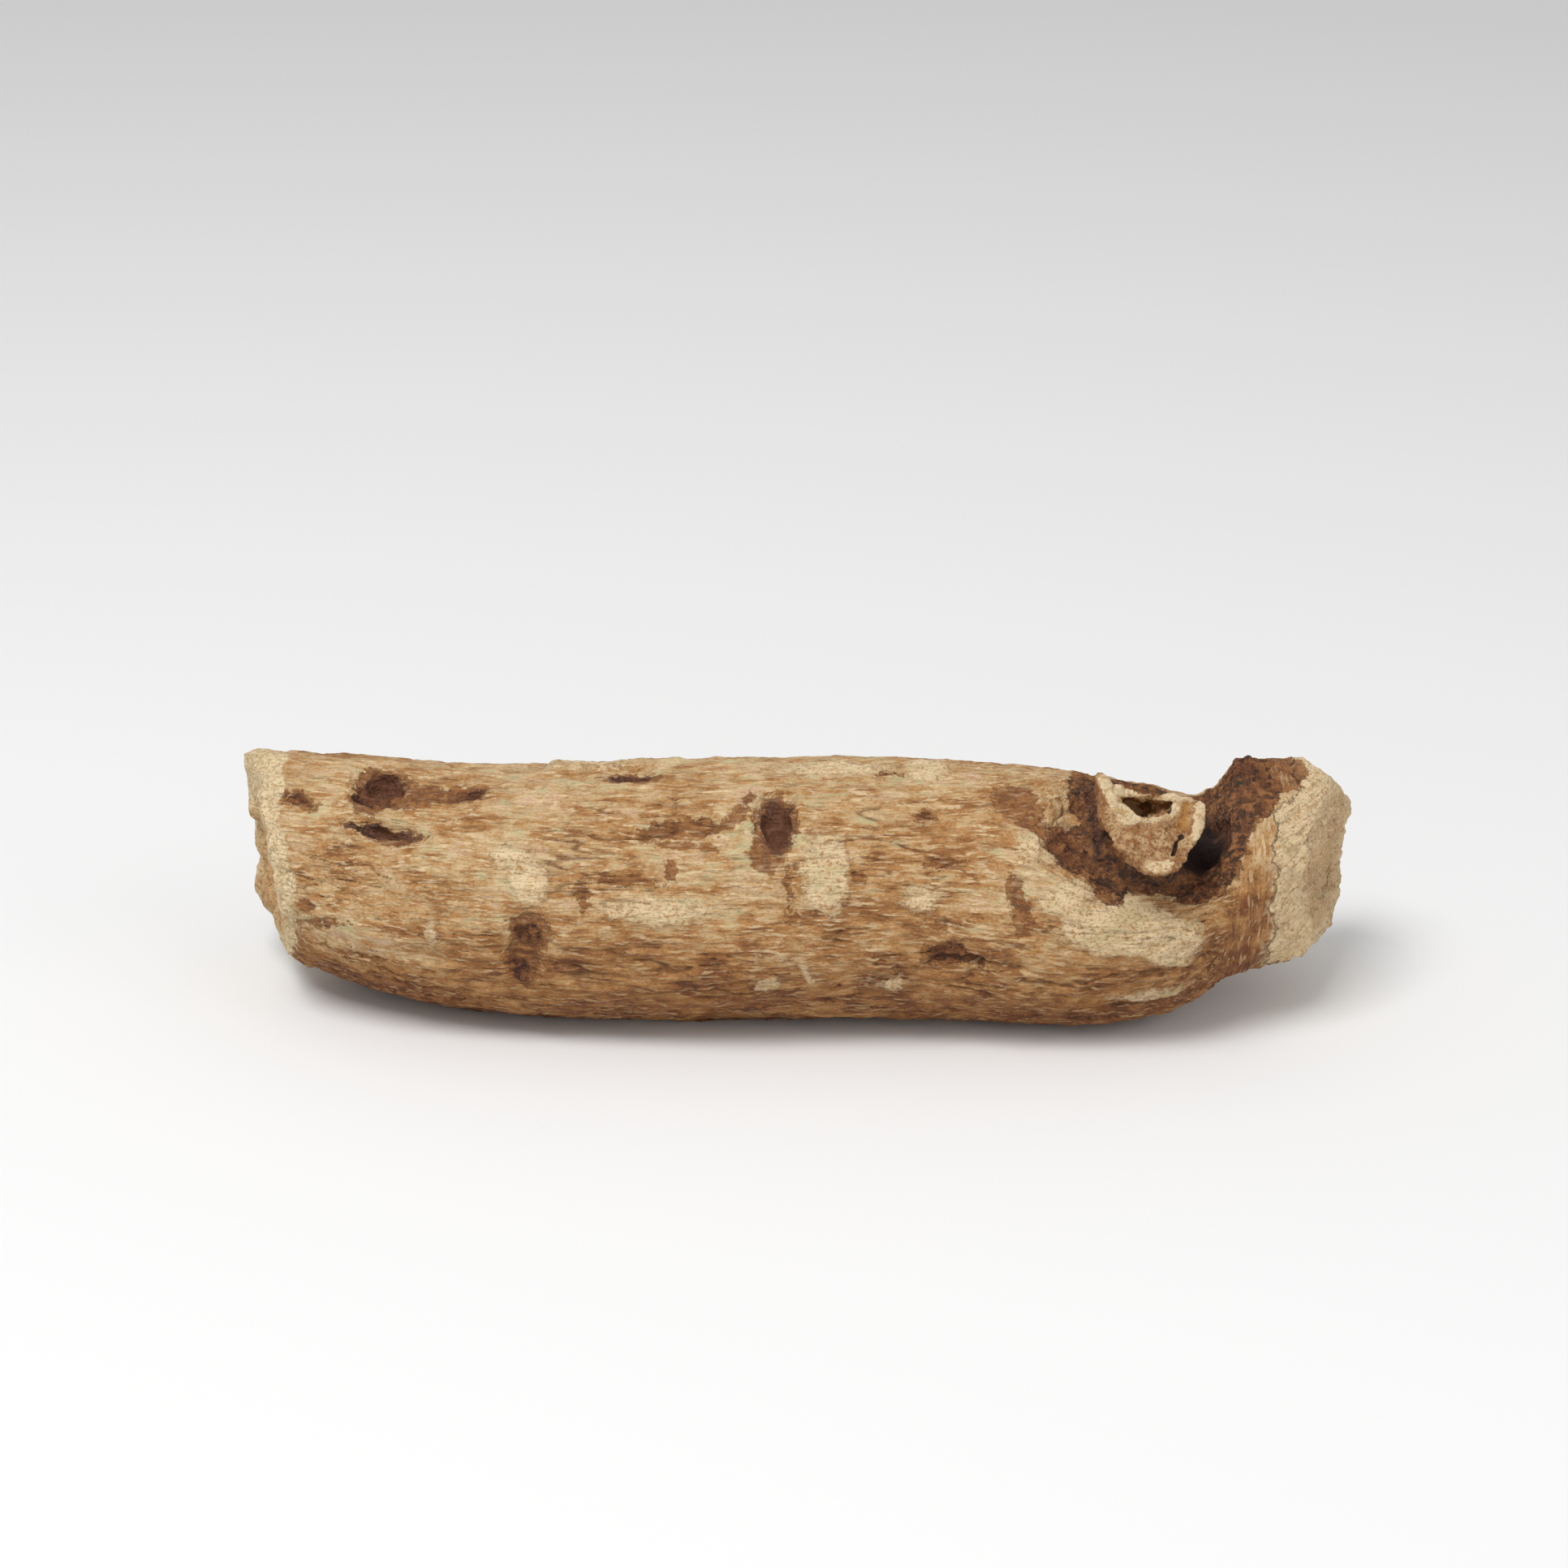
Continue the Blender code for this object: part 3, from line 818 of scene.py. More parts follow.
# %% Work out how the two ends move
Tab = namedtuple("Tab", "z reach width")
TABS = [Tab(20.5, 1.6, 1.4), Tab(9.5, 2.2, 2.0), Tab(15.0, 0.4, 1.8), Tab(27.0, 0.4, 1.5)]
RIM_PUSH = 0.8
RIM_X = (-57, -64)
RIM_Y = (2, 12)
CORE_RADIUS = (8.6, 7.4)
CORE_START = (56, 58)
RING_RADIUS = 11
RAGGED = 0.4
RAGGED_LEFT = (-54, -60)
RAGGED_RIGHT = (54, 60)
RIGHT_SHARE = 0.25

far_rim = smoothstep(*RIM_X, x) * smoothstep(*RIM_Y, points[:, 1])
stand_out = RIM_PUSH + sum(t.reach * np.exp(-(((points[:, 2] - t.z) / t.width) ** 2)) for t in TABS)
ragged = RAGGED * bumps(points / (9, 1.3, 1.3), 34) * np.minimum(abs(normals[:, 0]) * 2, 1)
ragged *= smoothstep(*RAGGED_LEFT, x) + RIGHT_SHARE * smoothstep(*RAGGED_RIGHT, x)

level = np.column_stack([np.ones(len(points)), points[:, 1:]])
ring = (right_cut > 0.5) & (radius > CORE_RADIUS[0]) & (radius < RING_RADIUS)
slopes = np.linalg.lstsq(level[ring], x[ring], rcond=None)[0]
to_plane = (level @ slopes - x) * smoothstep(*CORE_RADIUS, radius) * smoothstep(*CORE_START, x)
print("the right core rises by up to", to_plane.max().round(2), "mm")

# %% [markdown]
# Moving the points
# Behind the stump the root rises in a steep shoulder, and beyond it the top slopes off to the
# end, which is a little drawn in below that. With these, all points move at once. None may
# leave the plain solid's box, so that the finished root has the size that was settled for it,
# and the underside stays level where the root lies.

# %% Move the points
SHOULDER_X = 51.8
SHOULDER_TURN = 88
SHOULDER_LIFT = 1.1
SHOULDER_RUN = (1.4, 2.6)
SHOULDER_WIDTH = 0.5
BEVEL_X = 59.7
BEVEL_TOP = 29.4
BEVEL_SLOPE = 0.7
BEVEL_START = (54, 58)
BEVEL_BACK = 0.5
BEVEL_DOWN = 0.6
WAIST = 1.1
WAIST_HEIGHT = 16.5
WAIST_REACH = 3.0
WAIST_START = (58, 62)
INSIDE_BOX = 0.02

moved = trimmed + normals * height[:, None]
moved[:, 0] += ragged - far_rim * stand_out + to_plane
near_shoulder = ((x - SHOULDER_X) / np.where(x < SHOULDER_X, *SHOULDER_RUN)) ** 2
near_shoulder += (turned(SHOULDER_TURN) / SHOULDER_WIDTH) ** 2
moved[:, 2] += SHOULDER_LIFT * np.exp(-near_shoulder) * off_stump
over = np.maximum(height_seen - BEVEL_TOP + BEVEL_SLOPE * (x - BEVEL_X), 0)
over *= smoothstep(*BEVEL_START, x)
moved[:, 0] -= BEVEL_BACK * over
moved[:, 2] -= BEVEL_DOWN * over
drawn_in = WAIST * np.exp(-(((height_seen - WAIST_HEIGHT) / WAIST_REACH) ** 2))
moved[:, 0] -= drawn_in * smoothstep(*WAIST_START, x)
moved = np.clip(moved, box_low + INSIDE_BOX, box_high - INSIDE_BOX)
bark.data.vertices.foreach_set("co", (moved * MM).ravel())
bark.data.update()
print("the furthest move is", np.linalg.norm(moved - points, axis=1).max().round(2), "mm")

# %% [markdown]
# The drift of the ground colour, and painted shade below
# The bark's ground colour drifts from cream on the top to orange-brown below. On the lower
# front and underneath the same number also paints shade, so those parts are darker than their
# colour alone would be. One number holds both, the warmth. It grows down the front, is high
# underneath and behind, wanders with broad noise, and is nudged up or down in a few zones that
# the photograph shows. The material turns it into colours later.

# %% Work out the warmth and its painted shade
WARM_ZONES = [
    (Patch(52.0, 24, 4.6, 9), 0.20),
    (Patch(51.0, -12, 6.0, 6), 0.10),
    (Patch(-44.7, -30, 11, 4), -0.08),
    (Patch(-55.0, 44, 4.0, 2.6), 0.18),
    (Patch(-52.0, 28, 9.0, 7.0), 0.10),
    (Patch(-18.0, -19, 12, 5), 0.12),
    (Patch(12.2, 56, 7.0, 3.6), 0.22),
    (Patch(12.0, 36, 8.0, 4.0), 0.14),
    (Patch(-50.3, 14, 9.6, 3.4), 0.16),
    (Patch(-54.0, -8, 9.0, 4.5), -0.32),
    (Patch(-28.0, 44, 9.0, 3.0), 0.12),
    (Patch(5.0, 85, 22, 5), -0.10),
    (Patch(-33.0, 27, 6.0, 4.0), -0.14),
]
TOP_WARMTH = 0.38
# The next two are partly the bark's orange-brown and partly painted shade, low on the root.
LOWER_WARMTH_AND_PAINTED_SHADE = 0.32
UNDER_WARMTH_AND_PAINTED_SHADE = 0.30
BACK_WARMTH = 0.24
OVER_THE_TOP = (100, 150)
ROUND_BELOW = (-140, -170)

far_side = smoothstep(*OVER_THE_TOP, degrees) + smoothstep(*ROUND_BELOW, degrees)
# Down the front and underneath the warmth grows: partly the bark's orange-brown, partly painted
# shade.
warmth_and_painted_shade = TOP_WARMTH + LOWER_WARMTH_AND_PAINTED_SHADE * lower_part(40, -20) + UNDER_WARMTH_AND_PAINTED_SHADE * lower_part(-10, -45)
warmth_and_painted_shade += BACK_WARMTH * far_side
warmth_and_painted_shade += 0.16 * bumps(points / (16, 7, 7), 14)
for patch, amount in WARM_ZONES:
    near = ((x - patch.x) / patch.along) ** 2 + (turned(patch.turn) * radius / patch.across) ** 2
    warmth_and_painted_shade += amount * np.exp(-near)
print("warmth from", warmth_and_painted_shade.min().round(2), "to", warmth_and_painted_shade.max().round(2))

# %% [markdown]
# The painted shade round the stump's foot
# The stump stands in a deep socket, with a gap running in behind on its right. Shade alone
# doesn't make it as dark as it is, so it gets a number of its own, and the material paints it
# nearly black, most of all on the right: painted shade, over old bark that is dark brown itself.

# %% Mark the socket's painted shade
SOCKET_RADIUS = 6.6
SOCKET_WIDER = 1.8
SOCKET_BLUR = 1.3
SOCKET_TOP = (1.6, 0.6)
SOCKET_FLOOR = (-9, -6)
RIGHT_FROM = (-60, -20)
RIGHT_TO = (95, 60)
LEFT_SHARE = 0.4

right_side = smoothstep(*RIGHT_FROM, stump_angle) * smoothstep(*RIGHT_TO, stump_angle)
past_socket = stump_apart + 0.5 * bumps(points / 1.5, 35) - SOCKET_RADIUS
socket = smoothstep(SOCKET_BLUR, 0.0, past_socket - SOCKET_WIDER * right_side)
socket *= smoothstep(*SOCKET_TOP, stump_out) * smoothstep(*SOCKET_FLOOR, stump_out)
socket *= (LEFT_SHARE + (1 - LEFT_SHARE) * right_side) * near_stump * (1 - hollow)
print("points in the socket:", int((socket > 0.5).sum()))

# %% [markdown]
# Handing the map to the material
# The material needs the same map: where the fibres run, and how deep a point lies in a patch.
# Attributes carry such numbers on the points of a mesh, and a shader reads them by name.

# %% Store the attributes
EDGE_REACH = 4
numbers_kept = {
    "warmth_and_painted_shade": warmth_and_painted_shade,
    "strip": strip,
    # The socket number marks where the material paints shade.
    "socket": socket,
    "pit_depth": pit_depth,
    "brown_depth": brown_depth,
    "dark_bark_and_painted_shade_depth": dark_bark_and_painted_shade_depth,
    "pale_depth": pale_depth,
    "left_cut": left_cut,
    "neck": neck,
    "past_edge": np.where(off_stump, np.clip(past_edge, -EDGE_REACH, EDGE_REACH), -EDGE_REACH),
    "core": core,
    "on_stump": on_stump,
    "face": stump_cut,
    "pale_rim": pale_rim,
    "split": split,
    "groove": groove,
    "hollow": hollow,
    "relief": height - swells,
}
for name, values in numbers_kept.items():
    attribute = bark.data.attributes.new(name, "FLOAT", "POINT")
    attribute.data.foreach_set("value", values.astype(np.float32))
grain_attribute = bark.data.attributes.new("grain", "FLOAT_VECTOR", "POINT")
grain_attribute.data.foreach_set("vector", grain.astype(np.float32).ravel())
print("numbers kept at each point:", len(numbers_kept))

# %% [markdown]
# Fewer faces where the skin is plain
# The net now has far more faces than a plain stretch of bark needs. Decimate joins the flat
# ones first, so what is left goes to the furrows and edges.

# %% Thin the mesh
FACE_LIMIT = 196_000
apply_modifier(bark, "TRIANGULATE")
apply_modifier(bark, "DECIMATE", ratio=FACE_LIMIT / len(bark.data.polygons))
bark.data.shade_smooth()

# %% [markdown]
# A short way to write shader nodes
# A material is a net of nodes, and most of ours are sums on the numbers above. Written as
# Python expressions they can be read. The class below wraps a node's output, and each operator
# adds the Math node that does the same sum. The reflected forms are for a plain number on the
# left, as in 1 - wire.

# %% A socket that can be used in sums
class Wire:
    """An output socket of a node. Operators on it add Math nodes."""

    def __init__(self, shader, socket):
        self.shader = shader
        self.socket = socket

    def __add__(self, other):
        return self.shader.work_out("ADD", self, other)

    def __sub__(self, other):
        return self.shader.work_out("SUBTRACT", self, other)

    def __mul__(self, other):
        return self.shader.work_out("MULTIPLY", self, other)

    def __rsub__(self, other):
        return self.shader.work_out("SUBTRACT", other, self)

    __radd__ = __add__
    __rmul__ = __mul__


print("a wire can be added, subtracted and multiplied")

# %% [markdown]
# The material itself gets a class too, with one method that can add any node and a few short
# ones for what we use most: a number kept on the mesh, a soft step, one colour laid over
# another, and noise. A Mix node has sockets for numbers, vectors and colours under the same
# names, so the colours' sockets are picked by their place in the row.

# %% A material that grows by short calls
MIX_FIRST = 6
MIX_SECOND = 7
MIX_RESULT = 2


class Shader:
    """One material's node tree, with short ways to add to it."""

    def __init__(self, name):
        self.material = bpy.data.materials.new(name)
        self.material.use_nodes = True
        self.tree = self.material.node_tree
        self.surface = self.tree.nodes["Principled BSDF"]

    def node(self, kind, settings, sockets, output=0):
        """Adds a node: its settings first, then a value or a wire for each socket."""
        made = self.tree.nodes.new(kind)
        for name, value in settings.items():
            setattr(made, name, value)
        for name, value in sockets.items():
            if isinstance(value, Wire):
                self.tree.links.new(value.socket, made.inputs[name])
            else:
                made.inputs[name].default_value = value
        return Wire(self, made.outputs[output])

    def work_out(self, operation, first, second):
        """A Math node on two numbers or wires."""
        return self.node("ShaderNodeMath", {"operation": operation}, {0: first, 1: second})

    def number(self, name):
        """A number that the mesh holds at each point."""
        return self.node("ShaderNodeAttribute", {"attribute_name": name}, {}, "Fac")

    def vector(self, name):
        """Three numbers that the mesh holds at each point."""
        return self.node("ShaderNodeAttribute", {"attribute_name": name}, {}, "Vector")

    def step(self, value, low, high):
        """A soft step from 0 at low to 1 at high."""
        return self.node(
            "ShaderNodeMapRange",
            {"interpolation_type": "SMOOTHSTEP"},
            {"Value": value, "From Min": low, "From Max": high},
        )

    def mix(self, share, first, second):
        """One colour laid over another by a share."""
        sockets = {0: share, MIX_FIRST: first, MIX_SECOND: second}
        return self.node("ShaderNodeMix", {"data_type": "RGBA"}, sockets, MIX_RESULT)

    def noise(self, place, size, detail, shift):
        """Random values from 0 to 1 whose swells are the given size along each axis."""
        scaled = self.node(
            "ShaderNodeVectorMath",
            {"operation": "MULTIPLY_ADD"},
            {0: place, 1: [1 / s for s in size], 2: (shift, shift, shift)},
        )
        return self.node(
            "ShaderNodeTexNoise", {}, {"Vector": scaled, "Scale": 1.0, "Detail": detail}
        )

    def set(self, name, value):
        """Gives a socket of the surface a wire or a value."""
        socket = self.surface.inputs[name]
        if isinstance(value, Wire):
            self.tree.links.new(value.socket, socket)
        else:
            socket.default_value = value


shader = Shader("dried_bark")
print("nodes in a new material:", [node.name for node in shader.tree.nodes])

# %% [markdown]
# The colours
# Colours are easiest to judge as the eye sees them, from 0 to 255, but a renderer works with
# amounts of light. The helper below turns the first into the second.

# %% Name the colours
def colour(red, green, blue):
    """A colour as a screen shows it, turned into amounts of light."""
    shares = (c / 255 for c in (red, green, blue))
    return (*(((s + 0.055) / 1.055) ** 2.4 for s in shares), 1)


CREAM = colour(208, 180, 138)
PINK_CREAM = colour(206, 170, 138)
GREEN_CREAM = colour(192, 178, 134)
SAND = colour(194, 159, 113)
TAN = colour(178, 131, 81)
ORANGE_BROWN = colour(152, 104, 60)
RED_BROWN = colour(120, 75, 46)
DEEP_BROWN = colour(82, 51, 36)
NEAR_BLACK = colour(42, 28, 24)
# A painted highlight colour, for spots in the pits.
PAINTED_HIGHLIGHT_GREY = colour(106, 82, 74)
BLEACHED = colour(228, 204, 164)
GREY_GREEN = colour(186, 168, 130)
PINK_BROWN = colour(164, 122, 84)
WOOD = colour(200, 166, 116)
OCHRE = colour(176, 122, 58)
print("cream as amounts of light:", [round(share, 3) for share in CREAM[:3]])

# %% [markdown]
# The bark's finish
# Dry bark is dull, so nearly all of its look is colour, and the colour is mixed by noises of a
# few kinds. Drawn-out ones run along the fibres, and give streaks, dark strokes and pale
# glints. Even ones give specks of half a millimetre, mottling of one, and blotches and tints of
# a few. They read the grain or the object's own coordinates, so the pattern stays on the bark.
# The last number of each shifts it, so that no two are alike.

# %% Make the noises
run = shader.vector("grain")
place = shader.node("ShaderNodeVectorMath", {"operation": "SCALE"}, {
    0: shader.node("ShaderNodeTexCoord", {}, {}, "Object"), "Scale": 1 / MM,
})

neck_share = shader.number("neck")


def fibre_noise(length, width, detail, shift):
    """Noise drawn out along the fibres. At the neck it is drawn out round the root."""
    along = shader.noise(run, (length, width, width), detail, shift)
    around = shader.noise(place, (width, length, length), detail, shift)
    return along + neck_share * (around - along)


broad = shader.noise(run, (9, 4, 4), 2, 0)
streak = fibre_noise(3.6, 0.75, 4, 5)
stroke = fibre_noise(3.2, 0.42, 4, 11)
glint = fibre_noise(2.2, 0.36, 4, 15)
speck = shader.noise(place, (0.42, 0.36, 0.36), 2, 3)
mottle = shader.noise(place, (1.1, 0.9, 0.9), 3, 23)
blotch = shader.noise(place, (2.4, 1.8, 1.8), 5, 7)
tint = shader.noise(place, (4.5, 2.6, 2.6), 4, 19)
line = shader.noise(run, (7, 1.2, 1.2), 3, 17)
print("nodes for the noises:", len(shader.tree.nodes))

# %% [markdown]
# Under everything lies the ground. Warmth, which holds painted shade low on the root, and noise
# are added up, and soft steps on the sum lead from cream over sand, tan and orange-brown to
# red-brown. The cream itself turns pinkish or greenish in places.

# %% Colour the ground
warmth_and_painted_shade = shader.number("warmth_and_painted_shade")
warmth_painted_shade_and_noise = warmth_and_painted_shade + 1.1 * (streak - 0.5) + (broad - 0.5)
warmth_painted_shade_and_noise = warmth_painted_shade_and_noise + 1.2 * (blotch - 0.5) + 0.6 * (speck - 0.5)
pale_ground = shader.mix(shader.step(tint, 0.50, 0.60), CREAM, PINK_CREAM)
pale_ground = shader.mix(shader.step(tint, 0.48, 0.40), pale_ground, GREEN_CREAM)
ground = shader.mix(shader.step(warmth_painted_shade_and_noise, 0.10, 0.38), pale_ground, SAND)
ground = shader.mix(shader.step(warmth_painted_shade_and_noise, 0.34, 0.60), ground, TAN)
ground = shader.mix(shader.step(warmth_painted_shade_and_noise, 0.58, 0.84), ground, ORANGE_BROWN)
ground = shader.mix(shader.step(warmth_painted_shade_and_noise, 0.86, 1.12), ground, RED_BROWN)
print("nodes with the ground:", len(shader.tree.nodes))

# %% [markdown]
# Next come the pale islands and the bleached right end, which share their tones. The edge of
# a patch is a step on its depth. Noise is added to the depth first, which frays the edge.

# %% Colour the pale parts
frayed = (speck - 0.5) + 0.2 * (streak - 0.5) + 1.8 * (mottle - 0.5) + 1.2 * (blotch - 0.5)
pale = shader.step(shader.number("pale_depth") + 1.4 * frayed, -0.2, 0.6)
past_edge = shader.number("past_edge")
bleached = shader.step(past_edge + 3.0 * (mottle - 0.5) + 2.0 * (stroke - 0.5), -1.0, 0.5)
pale = shader.work_out("MAXIMUM", pale, bleached)
right_end = shader.step(past_edge, -0.3, 0.3)
pale_tone = shader.mix(0.6 * shader.step(tint, 0.52, 0.60), BLEACHED, GREEN_CREAM)
pale_tone = shader.mix(0.6 * shader.step(speck, 0.52, 0.62), pale_tone, GREY_GREEN)
pale_tone = shader.mix(0.5 * shader.step(mottle, 0.53, 0.64), pale_tone, SAND)
pale_tone = shader.mix(0.4 * shader.number("core") * right_end, pale_tone, TAN)
finish = shader.mix(0.85 * pale, ground, pale_tone)
print("nodes with the pale parts:", len(shader.tree.nodes))

# %% [markdown]
# The brown islands, the dark bark and the pits are laid over these, from the lightest to the
# darkest. Each is mottled with a darker and a lighter tone, because old bark is never one
# brown. In the pits and in the dark bark round the stump's foot the darkest tones are partly
# painted shade, and the pits' purple-grey spots are painted highlights.

# %% Colour the brown islands, the dark bark and the pits
brown = shader.step(shader.number("brown_depth") + frayed, -0.10, 0.20)
mixed = mottle + 0.5 * (speck - 0.5) + 0.5 * (blotch - 0.5)
brown_tone = shader.mix(shader.step(mixed, 0.44, 0.53), RED_BROWN, ORANGE_BROWN)
# Dark bark, and painted shade round the stump's foot.
dark = shader.step(shader.number("dark_bark_and_painted_shade_depth") + 0.7 * frayed, -0.12, 0.16)
dark_bark_and_painted_shade_tone = shader.mix(shader.step(mixed, 0.46, 0.52), DEEP_BROWN, RED_BROWN)
dark_bark_and_painted_shade_tone = shader.mix(shader.step(mixed, 0.45, 0.40), dark_bark_and_painted_shade_tone, NEAR_BLACK)
dark_bark_and_painted_shade_tone = shader.mix(0.8 * shader.step(mixed, 0.56, 0.61), dark_bark_and_painted_shade_tone, ORANGE_BROWN)
grainy = mottle + (speck - 0.5)
pit = shader.step(shader.number("pit_depth") + 0.8 * frayed, -0.10, 0.20)
# Painted shade and highlights: the pits are nearly black, partly their own colour and partly
# painted shade, with purple-grey painted highlights.
pit_colour_and_painted_light = shader.mix(shader.step(grainy, 0.46, 0.54), NEAR_BLACK, DEEP_BROWN)
pit_colour_and_painted_light = shader.mix(0.9 * shader.step(grainy, 0.56, 0.62), pit_colour_and_painted_light, PAINTED_HIGHLIGHT_GREY)

finish = shader.mix(0.94 * brown, finish, brown_tone)
finish = shader.mix(0.95 * dark, finish, dark_bark_and_painted_shade_tone)
finish = shader.mix(pit, finish, pit_colour_and_painted_light)
print("nodes with the patches:", len(shader.tree.nodes))

# %% [markdown]
# Short dark and pale strokes follow the fibres over all of this, in loose groups. The pale ones
# are pale fibres with painted highlights, and the dark ones are dark fibres with painted shade
# between them. Calm places and pale islands have small dots instead.

# %% Draw the strokes and the dots
calm = shader.step(tint + 0.5 * (mottle - 0.5), 0.46, 0.58) * (1 - neck_share)
busy = shader.step(warmth_and_painted_shade, 0.0, 0.7) * (1 - 0.7 * calm) * (1 - 0.7 * pale) * (1 - 0.4 * neck_share)
busy = busy * (0.35 + 0.75 * shader.step(broad, 0.40, 0.58))
# Dark fibres and painted shade: dark strokes between the fibres.
dark_stroke_and_painted_shade = shader.step(stroke, 0.53, 0.59) * (busy + 0.4 * brown) * (1 - pit)
dark_stroke_and_painted_shade_tone = shader.mix(warmth_and_painted_shade, ORANGE_BROWN, DEEP_BROWN)
dark_stroke_and_painted_shade_tone = shader.mix(right_end, dark_stroke_and_painted_shade_tone, ORANGE_BROWN)
finish = shader.mix(0.85 * dark_stroke_and_painted_shade, finish, dark_stroke_and_painted_shade_tone)
# Pale fibres and painted highlights: pale strokes along them.
pale_stroke_painted_highlight = shader.step(glint, 0.53, 0.62) * (1 - 0.6 * brown) * (1 - pit)
pale_stroke_painted_highlight = pale_stroke_painted_highlight * (0.5 + 0.6 * shader.step(blotch, 0.42, 0.58))
painted_highlight_tone = shader.mix(shader.step(warmth_and_painted_shade, 0.4, 0.95), BLEACHED, SAND)
painted_highlight_tone = shader.mix(dark, painted_highlight_tone, RED_BROWN)
finish = shader.mix(0.65 * pale_stroke_painted_highlight, finish, painted_highlight_tone)
dots = shader.step(speck, 0.57, 0.64) * (calm + pale) * (1 - brown)
finish = shader.mix(0.45 * dots, finish, TAN)
print("nodes with the strokes:", len(shader.tree.nodes))

# %% [markdown]
# Hairline cracks lie where a stretched noise crosses its middle value, which it does along
# thin lines. What lies low in the relief is darkened: dirt in the furrows and pits, and painted
# shade there as well.

# %% Draw the hairlines, the dirt and the painted shade
hairline = shader.step(shader.work_out("ABSOLUTE", line - 0.5, 0), 0.020, 0.004)
hairline = hairline * shader.step(broad, 0.48, 0.60) * (1 - shader.number("left_cut"))
finish = shader.mix(0.4 * hairline, finish, RED_BROWN)
# Dirt and painted shade: low places in the relief are painted darker.
sunk = shader.step(-1 * shader.number("relief"), 0.22, 0.60)
dirt_and_painted_shade = shader.mix(warmth_and_painted_shade, RED_BROWN, DEEP_BROWN)
finish = shader.mix(0.65 * sunk, finish, dirt_and_painted_shade)
print("nodes with the cracks:", len(shader.tree.nodes))

# %% [markdown]
# The left cut and the scraped strip are pale and speckled, round a browner core.

# %% Colour the left end
end_tone = shader.mix(shader.step(speck, 0.48, 0.62), BLEACHED, GREY_GREEN)
end_tone = shader.mix(0.6 * shader.step(stroke, 0.50, 0.60), end_tone, SAND)
core_tone = shader.mix(shader.step(blotch, 0.42, 0.56), WOOD, TAN)
core_tone = shader.mix(0.7 * shader.step(grainy, 0.54, 0.64), core_tone, ORANGE_BROWN)
core_tone = shader.mix(0.5 * shader.step(grainy, 0.44, 0.36), core_tone, CREAM)
end_tone = shader.mix(0.8 * shader.number("core"), end_tone, core_tone)
finish = shader.mix(shader.number("left_cut"), finish, end_tone)
finish = shader.mix(shader.number("strip"), finish, end_tone)
print("nodes with the left end:", len(shader.tree.nodes))

# %% [markdown]
# The stump comes last, because its finish covers what lies below: the socket's painted shade,
# the brown wall, the mottled broken face with its pale rim, groove and cracks, and the hollow,
# which is painted lighter than its shade leaves it: painted light.

# %% Colour the stump
# Painted shade: the socket round the stump's foot is painted nearly black.
socket = shader.step(shader.number("socket") + 0.9 * (blotch - 0.5), 0.15, 0.85)
finish = shader.mix(socket, finish, NEAR_BLACK)
wall_mix = shader.step(streak + 0.6 * (speck - 0.5), 0.40, 0.64)
stump_tone = shader.mix(wall_mix, PINK_BROWN, ORANGE_BROWN)
stump_tone = shader.mix(0.7 * shader.step(stroke, 0.55, 0.63), stump_tone, RED_BROWN)
face_tone = shader.mix(shader.step(mixed, 0.46, 0.60), PINK_BROWN, SAND)
face_tone = shader.mix(0.9 * shader.step(mixed, 0.47, 0.40), face_tone, ORANGE_BROWN)
face_tone = shader.mix(0.8 * shader.step(speck, 0.56, 0.63), face_tone, RED_BROWN)
rim = shader.step(shader.number("pale_rim") + 1.2 * (speck - 0.5) + (mottle - 0.5), 0.25, 0.60)
rim_tone = shader.mix(shader.step(mottle, 0.54, 0.64), BLEACHED, SAND)
face_tone = shader.mix(0.92 * rim, face_tone, rim_tone)
face_tone = shader.mix(0.5 * shader.step(speck, 0.43, 0.37), face_tone, CREAM)
face_tone = shader.mix(0.8 * shader.number("groove"), face_tone, OCHRE)
stump_tone = shader.mix(shader.number("face"), stump_tone, face_tone)
split = shader.step(shader.number("split") + 0.6 * (speck - 0.5), 0.3, 0.6)
stump_tone = shader.mix(0.9 * split, stump_tone, NEAR_BLACK)
finish = shader.mix(shader.number("on_stump"), finish, stump_tone)
# Painted light: the hollow is painted in sand and orange-brown, lighter than its shade leaves the
# wood.
hollow_tone_with_painted_light = shader.mix(shader.step(glint, 0.4, 0.6), SAND, ORANGE_BROWN)
finish = shader.mix(shader.number("hollow"), finish, hollow_tone_with_painted_light)
print("nodes with the stump:", len(shader.tree.nodes))

# %% [markdown]
# The surface is rough all over. A bump from the same noises adds the finest fibres and grains,
# which are too small for the mesh. The pattern of colour and of height is one, as on real bark.

# %% Finish the surface
BUMP_HEIGHT = 0.45 * MM
ROUGHNESS = 0.78
ROUGHNESS_SPREAD = 0.14
SHINE = 0.3

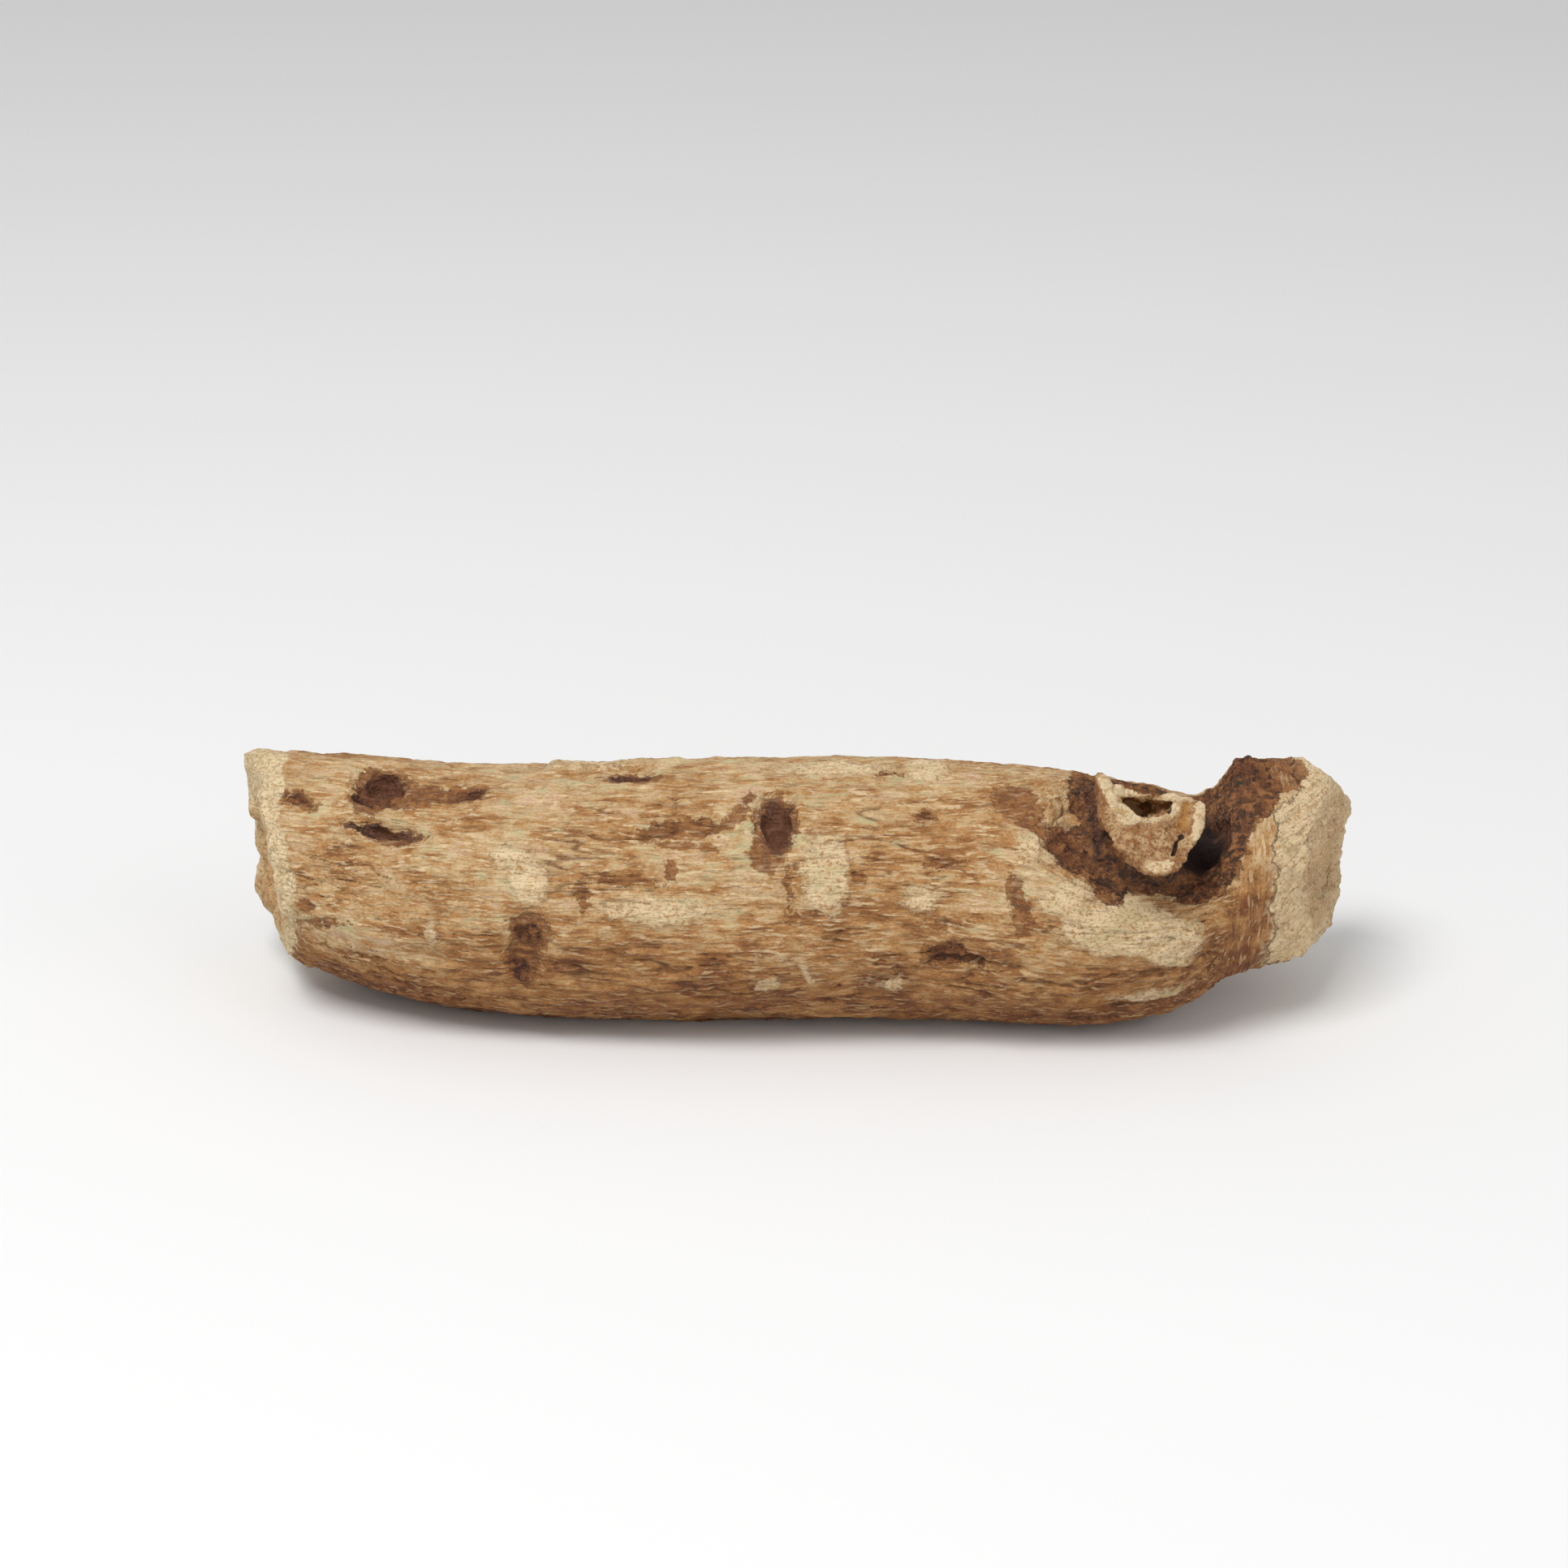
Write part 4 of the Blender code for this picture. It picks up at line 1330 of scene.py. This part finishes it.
shader.set("Base Color", finish)
shader.set("Roughness", ROUGHNESS + ROUGHNESS_SPREAD * speck)
shader.set("Specular IOR Level", SHINE)
fine_relief = 0.8 * glint + 0.6 * speck + 0.8 * streak - 0.7 * stroke
fine_relief = fine_relief + 0.8 * mottle * (dark + brown)
fine_relief = fine_relief + 0.25 * pale - 0.25 * brown - 0.3 * pit
bump = shader.node("ShaderNodeBump", {}, {
    "Strength": 1.0, "Distance": BUMP_HEIGHT, "Height": fine_relief,
})
shader.set("Normal", bump)
bark.data.materials.append(shader.material)
print("nodes in the bark material:", len(shader.tree.nodes))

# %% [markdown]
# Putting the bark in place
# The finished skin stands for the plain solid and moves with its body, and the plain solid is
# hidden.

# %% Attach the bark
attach(bark, "root")
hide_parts("root")
print("the bark has", len(bark.data.polygons), "faces")

# %% [markdown]
# Floor and light
# The root is shown on plain white. One big pale sheet is the floor. A large soft lamp
# above and a little to the left gives shape, a weaker one on the right opens the shade, and
# the sky is even and pale.

# %% Floor, sky and lamps
FLOOR_SIZE = 6.0
FLOOR_SHADE = 0.86
FLOOR_ROUGHNESS = 0.9
SKY_LIGHT = 0.50
Lamp = namedtuple("Lamp", "name place size power")
LAMPS = [
    Lamp("key", (-0.25, -0.32, 0.80), 0.40, 5.0),
    Lamp("fill", (0.6, -0.5, 0.4), 0.6, 1.2),
]


def plain_material(name, shade):
    """A dull grey of one shade."""
    made = bpy.data.materials.new(name)
    made.use_nodes = True
    surface = made.node_tree.nodes["Principled BSDF"]
    surface.inputs["Base Color"].default_value = (shade, shade, shade, 1)
    surface.inputs["Roughness"].default_value = FLOOR_ROUGHNESS
    return made


def add_lamp(name, place, size, power):
    """A square soft lamp that shines at the root."""
    lamp_data = bpy.data.lights.new(name, "AREA")
    lamp_data.size = size
    lamp_data.energy = power
    lamp = bpy.data.objects.new(name, lamp_data)
    bpy.context.scene.collection.objects.link(lamp)
    lamp.location = place
    lamp.rotation_euler = (-Vector(place)).to_track_quat("-Z", "Y").to_euler()


bpy.ops.object.select_all(action="DESELECT")
bpy.ops.mesh.primitive_plane_add(size=FLOOR_SIZE, location=(0, 0, 0))
floor = bpy.context.active_object
floor.name = "floor"
floor.data.materials.append(plain_material("pale_floor", FLOOR_SHADE))

for lamp in LAMPS:
    add_lamp(*lamp)

sky = bpy.data.worlds.new("pale_sky")
sky.use_nodes = True
sky_light = sky.node_tree.nodes["Background"]
sky_light.inputs["Color"].default_value = (1, 1, 1, 1)
sky_light.inputs["Strength"].default_value = SKY_LIGHT
bpy.context.scene.world = sky
bpy.context.scene.view_settings.view_transform = "Standard"
print("lamps:", [lamp.name for lamp in LAMPS], "floor size in m:", FLOOR_SIZE)
